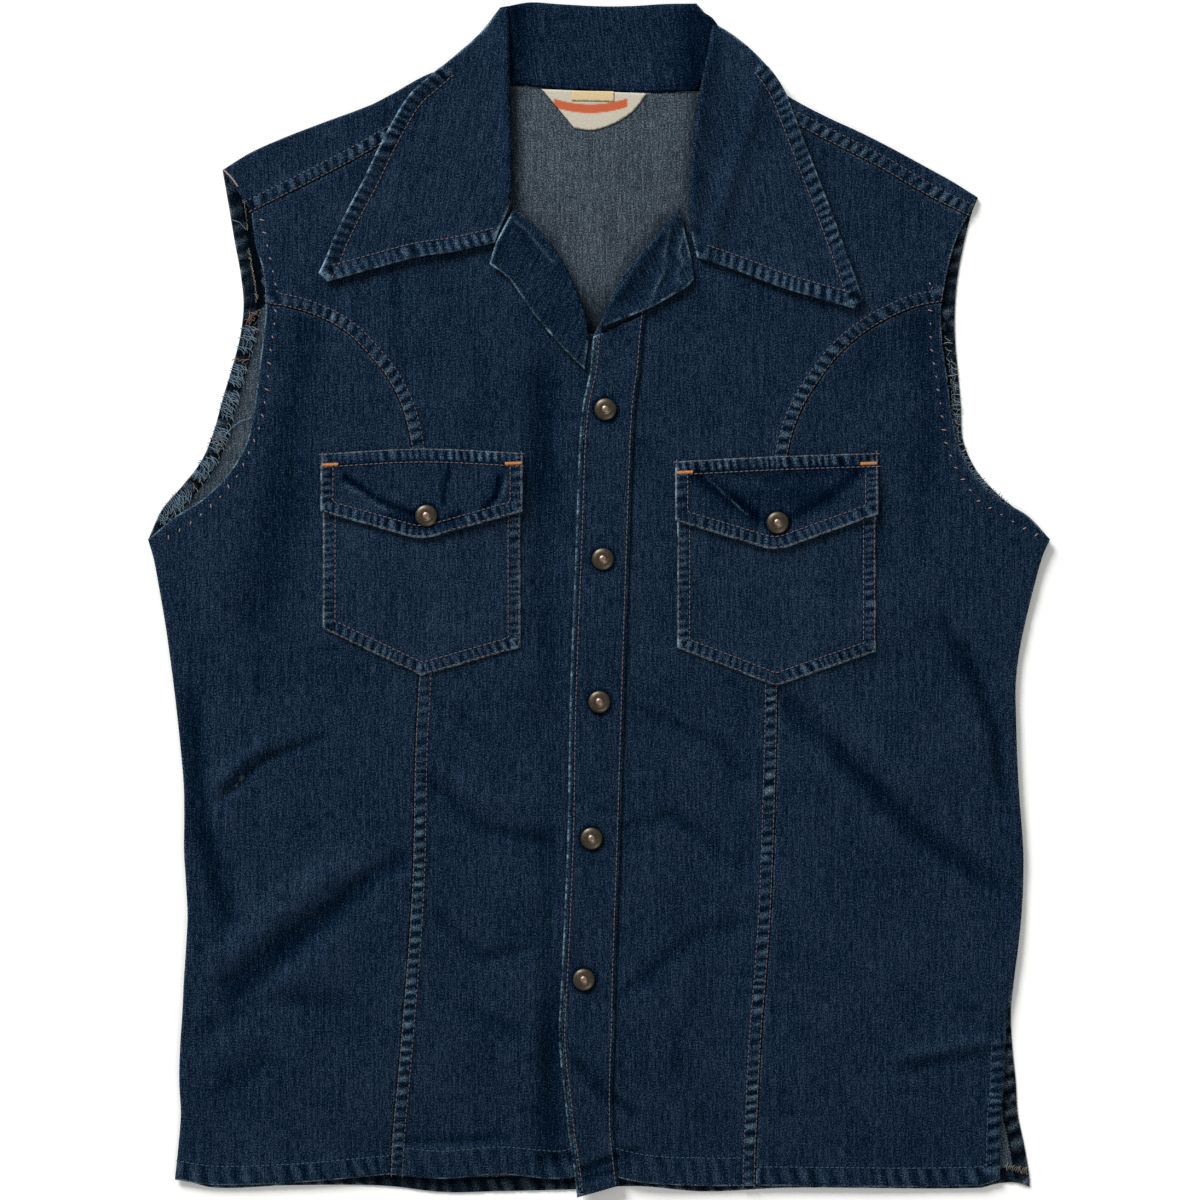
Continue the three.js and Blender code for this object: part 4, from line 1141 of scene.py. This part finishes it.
for (side, word), pocket_row, flap_row in zip(sides, pocket_sizes, flap_sizes):
    pocket = dict(zip(pocket_size_columns, pocket_row))
    flap = dict(zip(flap_size_columns, flap_row))
    under = higher(on_front(side), layer)
    over = higher(under, cloth)
    edge = smooth_edge(outline_of(f"pocket_{word}"), 1.6)
    ends = [(pocket[end], pocket["top"]) for end in ("left", "right")]
    sewn = stretch(edge, ends[0], (pocket["point"], pocket["point_up"]), ends[1])
    made = shell(
        edge,
        under,
        over,
        pitch=1.6,
        turn=0.8,
        borders=(strip(sewn, border_half, 0.22, pucker_beat),),
        seed=41 + side,
        tone=level(0.1),
        wear=0.9,
    )
    lay(f"pocket_{word}_cloth", f"pocket_{word}", [made], edge, outside)
    rows = [lifted(inside(sewn, row), over, seats["pocket"]) for row in pocket_rows]
    sew(f"pocket_{word}_stitches", rows)

    edge = softened(smooth_edge(outline_of(f"flap_{word}"), 1.4), (pocket["point"], flap["point_low"]), 8.0)
    left, right = pocket["left"] - flap_overhang, pocket["right"] + flap_overhang
    ends = ((left, flap["left_up"]), (right, flap["right_up"]))
    lower = stretch(edge, ends[0], (pocket["point"], flap["point_low"]), ends[1])
    upper = stretch(edge, ends[0], (pocket["point"], flap["middle_up"]), ends[1])
    hanging = lower[lower[:, 1] < flap["left_up"] - 12]
    bend = (pocket["top"] + grid_pitch, flap["left_up"])
    on_pocket = lambda x, up, under=under, bend=bend: under(x, up) + layer * (1 - ease(*bend, up))
    flap_under = raised(on_pocket, hanging, flap_lift, 5.0)
    flap_over = higher(flap_under, flap_cloth)
    flap_tops[side] = flap_over
    made = shell(
        edge,
        flap_under,
        flap_over,
        pitch=1.3,
        turn=0.9,
        borders=[strip(line, border_half, rise, pucker_beat) for line, rise in ((lower, 0.3), (upper, 0.35))],
        ridges=[(np.array(line), *looks) for line, *looks in buckles[side]],
        seed=51 + side,
        tone=shade_round_snaps,
        wear=lambda x, up: 1.15 - 0.6 * ease(flap["left_up"] - 6, flap["left_up"] - 2, up),
    )
    lay(f"flap_{word}_cloth", f"flap_{word}", [made], edge, outside)
    rows = [inside(lower, 0.9), inside(lower, 7.2), inside(upper, 0.6), inside(upper, 7.9)]
    rows[1] = rows[1][rows[1][:, 1] < flap["left_up"] - 8.5]
    sew(f"flap_{word}_stitches", [lifted(row, flap_over, seats["flap"]) for row in rows])
    starts = (left + 1.0, flap["left_up"] - 6.6), (right - 10.0, flap["right_up"] - 6.4)
    tacks = [np.linspace((x, up), (x + tack_run[0], up + tack_run[1]), 12) for x, up in starts]
    tacks = [lifted(line, flap_over, seats["tack"]) for line in tacks]
    sew(f"flap_{word}_tacks", tacks, orange_thread, **tack)

# The collar. One long-pointed collar of two denims on a stand: the leaves lie on the fronts, roll over at the
# neck into the stand, and the fall behind is folded under. The outer edges are topstitched 8 mm in.
roll_rise = 1.2
roll_levels = (655, 690)
stand_middle = 3.0
collar_row = 8.4
collar_border = 4.2
collar_beat = 5.4
leaf_lift = 2.4
leaf_puff = 3.2
leaf_puff_top = 670.0
stand_tuck = 3.0  # how far the stand goes in under each leaf
close_by = 0.3
leaf_lines = {
    -1: {
        "rolled": ((-54, 692), (-51, 640), (-50, 582)),
        "wrapped": ((-54, 692), (-75, 670), (-91, 656)),
        "outer": ((-91, 656), (-121, 620), (-161, 538)),
        "front": ((-161, 538), (-105, 545), (-59, 554)),
    },
    1: {
        "rolled": ((64, 684), (59, 645), (53, 564)),
        "wrapped": ((64, 684), (78, 670), (97, 657)),
        "outer": ((97, 657), (110, 636), (151, 518)),
        "front": ((151, 518), (104, 528), (56, 546)),
    },
}
leaf_tops = {-1: 700, 1: 680.2}


def stand_under(x, up):
    side = ease(15, 35, np.abs(x - stand_middle))
    return back_under(x, up) + (layer + air(x, up)) * side + roll_rise * ease(*roll_levels, up) * (1 - side)


def beaded(base, deep, line, reach=2.4):
    """A cloth's underside that goes down to a deeper one where the cloth rolls over along a line."""

    def height(x, up):
        share = 1 - ease(1.0, reach, off(line, x, up))
        return base(x, up) * (1 - share) + deep(x, up) * share

    return height


collar_shells = []
collar_rows = []
for side, word in sides:
    corners = outline_of("collar", up_facing=True, near=(100 * side, 590, 9))
    edge = smooth_edge(corners[corners[:, 1] < leaf_tops[side]], 1.8)
    own = {name: stretch(edge, *places) for name, places in leaf_lines[side].items()}
    rolled = own["rolled"]
    loose = np.vstack([own["outer"], own["front"]])
    base = raised(higher(on_front(side), layer), loose[np.abs(loose[:, 0]) > 62], leaf_lift, 5.5)
    over = raised(higher(base, collar_cloth), rolled[rolled[:, 1] < leaf_puff_top], leaf_puff, 7.0)
    made = shell(
        edge,
        beaded(beaded(base, stand_under, rolled), level(close_by), own["wrapped"]),
        over,
        pitch=1.7,
        turn=1.3,
        borders=[strip(own[name], collar_border, 0.2, collar_beat) for name in ("outer", "front")],
        grain=9.0 * side,
        # Painted shade: the leaf is darkened beside its roll line.
        tone=lambda x, up: 0.05 - 0.3 * bell(off(rolled, x, up), 5.0),
        wear=lambda x, up: 0.9 - 0.75 * (off(rolled, x, up) < 4.0),
        faces=(0, 0),
        seed=61 + side,
    )
    collar_shells.append(made)
    for name in ("outer", "front"):
        collar_rows.append(lifted(inside(own[name], collar_row), over, seats["collar"]))
stand_edge = smooth_edge(outline_of("collar", up_facing=True, near=(3, 668, 5)), 1.8)
off_middle = stand_edge[:, 0] - stand_middle
tucked = stand_tuck * ease(38, 48, abs(off_middle)) * (1 - ease(684, 689, stand_edge[:, 1]))
stand_edge[:, 0] += np.sign(off_middle) * tucked
neck_row = stretch(stand_edge, (-46, 645), (0, 642), (55, 642))
top_roll = stretch(stand_edge, (-52, 693), (0, 691), (56, 693))
stand = shell(
    stand_edge,
    beaded(stand_under, level(close_by), top_roll),
    higher(stand_under, cloth),
    pitch=1.6,
    turn=1.2,
    borders=(strip(neck_row, 1.6, 0.15, 6.4),),
    # Painted shade: the stand is darkened towards both ends, under the rolled leaves.
    tone=lambda x, up: -0.1 - 0.75 * ease(36, 52, abs(x - stand_middle)),
    grain=8.0,
    wear=0.15,
    faces=(0, 0),
    seed=66,
)
fall_edge = smooth_edge(outline_of("collar", near=(0, 650, -20)), 3.0)
fall = shell(fall_edge, level(0.0), level(collar_cloth), pitch=5.0, turn=0.8, faces=(0, 0), seed=67)
collar = piece("collar_cloth", [*collar_shells, stand, fall], outside)
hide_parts("collar")
sew("collar_stitches", collar_rows)

# The neck label. A small plain cream tape, woven and folded under, sewn in at the back neck seam, with a
# plain rust band bowed across it, a bare beige tab over it, and nothing written on either.
band_arc = {"left": -26.0, "middle": -4.8, "right": 17.0, "middle_up": 634.2, "end_up": 637.8}
band_height = 5.6
band_blur = 0.5
label_thick = 0.5
tab_seat = 0.62
tab_thick = 0.3
tab_corners = ((-15.4, 635.9), (9.0, 635.4), (9.2, 641.4), (-15.2, 641.8))


def woven_tape(name, dark, light, band_colour):
    """Cotton tape, tightly woven and flat, so it is dull and even. It is dyed where the value kept at its
    points says.
    """
    material, tree = new_material(name)
    threads = cloudy(tree, stored(tree, "weave", "Vector"), (1.6, 0.8, 0.0), 3.0)
    plain = mixed(tree, threads, linear(dark), linear(light))
    dyed = mixed(tree, stored(tree, "tint_and_shade"), plain, linear(band_colour))
    coated(tree, dyed, threads, 0.4, 0.0002, {"Roughness": 0.75, "Specular IOR Level": 0.3})
    return material


def in_band(x, up):
    """1 on the band and 0 off it."""
    bow = ((x - band_arc["middle"]) / (band_arc["right"] - band_arc["middle"])) ** 2
    top = band_arc["middle_up"] + (band_arc["end_up"] - band_arc["middle_up"]) * bow
    within = (top - up, up - top + band_height, x - band_arc["left"], band_arc["right"] - x)
    return math.prod(ease(0, band_blur, room) for room in within)


label_tape = woven_tape("woven_cotton_label", "#8d8676", "#bdb7a8", "#a44c28")
tab_tape = woven_tape("beige_cotton_tape", "#a08c66", "#c8b48c", "#c8b48c")
label_edge = smooth_edge(outline_of("label"), 1.2)
label_under = higher(back_under, layer)
label_over = higher(label_under, label_thick)
label_shell = shell(label_edge, label_under, label_over, pitch=0.8, turn=0.4, seed=71)
label_shell["tint_and_shade"] = in_band(*label_shell["points"].T[:2])
tab_edge = dense(np.array(tab_corners), 1.0, closed=True)[0][:-1]
tab_under = higher(label_under, tab_seat)
tab_over = higher(tab_under, tab_thick)
tab_shell = shell(tab_edge, tab_under, tab_over, pitch=1.0, turn=0.3, faces=(1, 1), seed=72)
tapes = (label_tape, tab_tape)
lay("neck_label", "label", [label_shell, tab_shell], label_edge, tapes)

# The snaps. Seven spring-snap caps of brass, browned with age: a low dome with a groove round a small, plain
# boss, where the copper under the brass shows through. Each is clenched through the cloth, so it stays where
# it is sewn on. The profile gives radius and height as shares of the cap's own radius.
snap_profile = (
    (0.0, 0.0),
    (0.93, 0.0),
    (1.0, 0.05),
    (1.0, 0.13),
    (0.96, 0.2),
    (0.86, 0.27),
    (0.7, 0.33),
    (0.55, 0.36),
    (0.43, 0.36),
    (0.37, 0.31),
    (0.32, 0.31),
    (0.28, 0.36),
    (0.14, 0.39),
    (0.0, 0.4),
)
snap_sides = 40
boss = {"radius": 0.3, "above": 0.2, "polish": 0.8}
brass, tree = new_material("aged_brass")
at = add(tree, "ShaderNodeTexCoord").outputs["Object"]
tarnish = cloudy(tree, at, (900.0, 900.0, 900.0), 3.0)
patina = mixed(tree, tarnish, linear("#1a1712"), linear("#625a4c"))
shown = mixed(tree, stored(tree, "rubbed"), patina, linear("#9c8070"))
coated(tree, shown, tarnish, 0.25, 0.0001, {"Metallic": 0.85, "Roughness": 0.42})
snap_seats = dict.fromkeys(snap_places, placket_over)
snap_seats.update(pocket_snap_left=flap_tops[-1], pocket_snap_right=flap_tops[1])
for node, (snap_x, snap_up) in snap_places.items():
    seat = float(snap_seats[node](np.array([snap_x]), np.array([snap_up]))[0]) + 0.1
    points, rings, rubbed = [], [], []
    for radius, height in snap_profile:
        count = snap_sides if radius else 1
        rings.append([len(points) + i % count for i in range(snap_sides)])
        polished = radius < boss["radius"] and height > boss["above"]
        rubbed += [boss["polish"] if polished else 0.0] * count
        for i in range(count):
            a, r = 2 * math.pi * i / count, radius * snap_radius
            points.append((snap_x + r * math.cos(a), snap_up + r * math.sin(a), seat + height * snap_radius))
    faces = []
    for inner, outer in zip(rings, rings[1:]):
        for i in range(snap_sides):
            j = (i + 1) % snap_sides
            faces.append(tuple(dict.fromkeys((inner[i], inner[j], outer[j], outer[i]))))
    mesh = bpy.data.meshes.new(f"{node}_cap")
    mesh.from_pydata(to_frame(points).tolist(), [], faces)
    store(mesh, "rubbed", rubbed)
    mesh.materials.append(brass)
    cap = ridden(placed(f"{node}_cap", mesh))
    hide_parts(node)

# The cut armholes. Their edges were turned in and held with coarse hand stitches in pinkish thread, and the
# cut cloth frays: blue warp yarns, cream looper thread and a few rust ends lie loose along the back's turned
# edge.
blue_yarn = thread_material("frayed_blue_warp_yarn", "#748fa1", "#1a2f40")
cream_yarn = thread_material("frayed_cream_looper_thread", "#8f8878", "#47433b")
pale_yarn = thread_material("frayed_undyed_weft_yarn", "#a8aca6", "#4c5656")
rust_yarn = thread_material("frayed_rust_thread", "#7f5848", "#3f2b26")
back_over = higher(back_under, cloth + 0.5)


def fray(name, lines, yarn, seed, width=0.2, rise=0.12, **values):
    values.update(thread=yarn, seed=seed, width=width, rise=rise)
    strew(name, frayed, lines, "denim_inside", **values)


def along_edge(where, distance, low, high, by):
    """The part between two levels of the row that keeps a distance inside a turned edge of the back."""
    row = inside(turned_lines[where], distance)
    return lifted(row[(row[:, 1] > low) & (row[:, 1] < high)], back_over, by)


def tangle(x, up, reach, loops, seed):
    """A snarl of thread round a place."""
    step = np.random.default_rng(seed).uniform(-reach, reach, (loops, 2))
    return lifted(np.array([x, up]) + step, back_over, 1.0)


def squiggle(line, width, wave):
    """A row of looper thread: a line that swings to both sides."""
    line, run = dense(np.array(line), wave / 6)
    across = np.gradient(line, axis=0)
    across = np.stack([-across[:, 1], across[:, 0]], axis=1) / np.hypot(*across.T)[:, None]
    return line + across * (width * np.sin(2 * math.pi * run / wave))[:, None]


fray_clumps = ((391, 409), (417, 429), (433, 446), (452, 467), (471, 483), (490, 505))
frays_in = (2.2, 4.4, 6.8)
blue_lines = [
    *(along_edge("armhole_left", inset, *clump, 0.2) for clump in fray_clumps for inset in frays_in),
    along_edge("armhole_right", 1.6, 400, 420, 0.1),
    along_edge("armhole_right", 3.0, 416, 484, 0.1),
]
cream_lines = [
    along_edge("armhole_left", 7.6, 392, 512, 0.3),
    along_edge("armhole_left", 5.0, 385, 430, 0.3),
    tangle(-201.0, 511, 3.6, 9, 3),
    tangle(-201.5, 504, 3.4, 8, 4),
    tangle(-220.0, 436, 3.0, 8, 5),
]
rust_ends = ([(-210.5, 486), (-204.5, 485)], [(-224, 440), (-217, 441)], [(-203, 508), (-197, 514)])
rust_lines = [lifted(line, back_over, 1.2) for line in rust_ends]
right_lines = [
    along_edge("armhole_right", 2.0, 412, 486, 0.3),
    along_edge("armhole_right", 4.4, 430, 500, 0.3),
]
looper_rows = (
    [(-207.3, 582.9), (-204.7, 573.3), (-203.7, 561.8)],
    [(-202.9, 550.3), (-201.1, 539.9), (-199.0, 528.4), (-198.5, 520.0)],
    [(-201.9, 545.0), (-200.0, 534.0), (-197.8, 522.0)],
)
looper_lines = [lifted(squiggle(row, 0.3, 3.1), back_over, 0.3) for row in looper_rows]
loose_lines = [
    lifted([(-217.0, 441.5), (-212.0, 447.0), (-207.0, 450.5), (-202.0, 452.0)], back_over, 0.4),
    lifted([(-212.5, 567.0), (-208.0, 565.5), (-205.0, 562.0)], back_over, 0.5),
    lifted([(-213.0, 418.0), (-208.5, 424.0), (-207.5, 431.0)], back_over, 0.3),
]
fray("armhole_blue_frays", blue_lines, blue_yarn, 11, pitch=1.3, length=5.4, lean=0.8, spread=0.8)
thin = {"width": 0.17, "rise": 0.2}
fine = {"width": 0.16}
fray("armhole_cream_frays", cream_lines, cream_yarn, 12, pitch=4.6, length=3.8, lean=0.5, spread=1.3, **thin)
fray("armhole_rust_frays", rust_lines, rust_yarn, 13, pitch=1.6, length=4.0, lean=0.1, spread=0.6, width=0.24)
fray("armhole_right_frays", right_lines, pale_yarn, 17, pitch=3.1, length=4.4, lean=0.5, spread=1.2, **fine)
flat = {"lean": 0.0, "rise": 0.02, "width": 0.16}
fray("armhole_looper_rows", looper_lines, cream_yarn, 14, pitch=1.3, length=1.6, spread=0.8, **flat)
flat["width"] = 0.17
fray("armhole_loose_threads", loose_lines, blue_yarn, 16, pitch=0.9, length=1.7, spread=0.12, **flat)
hand_row = {
    -1: [(-195, 567), (-190, 544), (-187, 530), (-187, 511), (-190, 490), (-192, 468), (-195, 450)]
    + [(-200, 437), (-208, 420), (-221, 404), (-235, 392), (-249, 383)],
    1: [(192, 530), (192.5, 495), (195.5, 477), (198, 461), (201, 439), (205.5, 426), (210.5, 417.5)]
    + [(219.5, 404.5), (229.5, 398.5), (245.5, 389), (253.5, 384.5)],
}
hand_lines = [lifted(hand_row[side], higher(on_front(side), cloth), 0.15) for side, word in sides]
by_hand = {"pitch": 7.6, "length": 3.4, "width": 0.75, "lean": 0.75, "spread": 0.55}
sew("armhole_hand_stitches", hand_lines, hand_thread, **by_hand)
# A thick strand of it lies along the left shoulder's tip.
strand = lifted([(-216.6, 595.6), (-213.5, 592.5), (-211.0, 589.5), (-209.4, 587.0)], front_under, 1.3)
sew("armhole_strand", [strand], hand_thread, pitch=1.1, length=3.0, width=0.9, lean=0.25, spread=0.1)

# The vent. The right side seam is left open above the hem, where the front's edge is turned in and sewn, and
# the back's hem corner has started to fray.
vent_end = lifted([(236.0, 18.5), (243.0, 17.0), (248.5, 16.0)], back_over, 0.2)
fray("vent_frays", [vent_end], cream_yarn, 15, pitch=1.1, length=4.2, lean=1.3, spread=0.7)
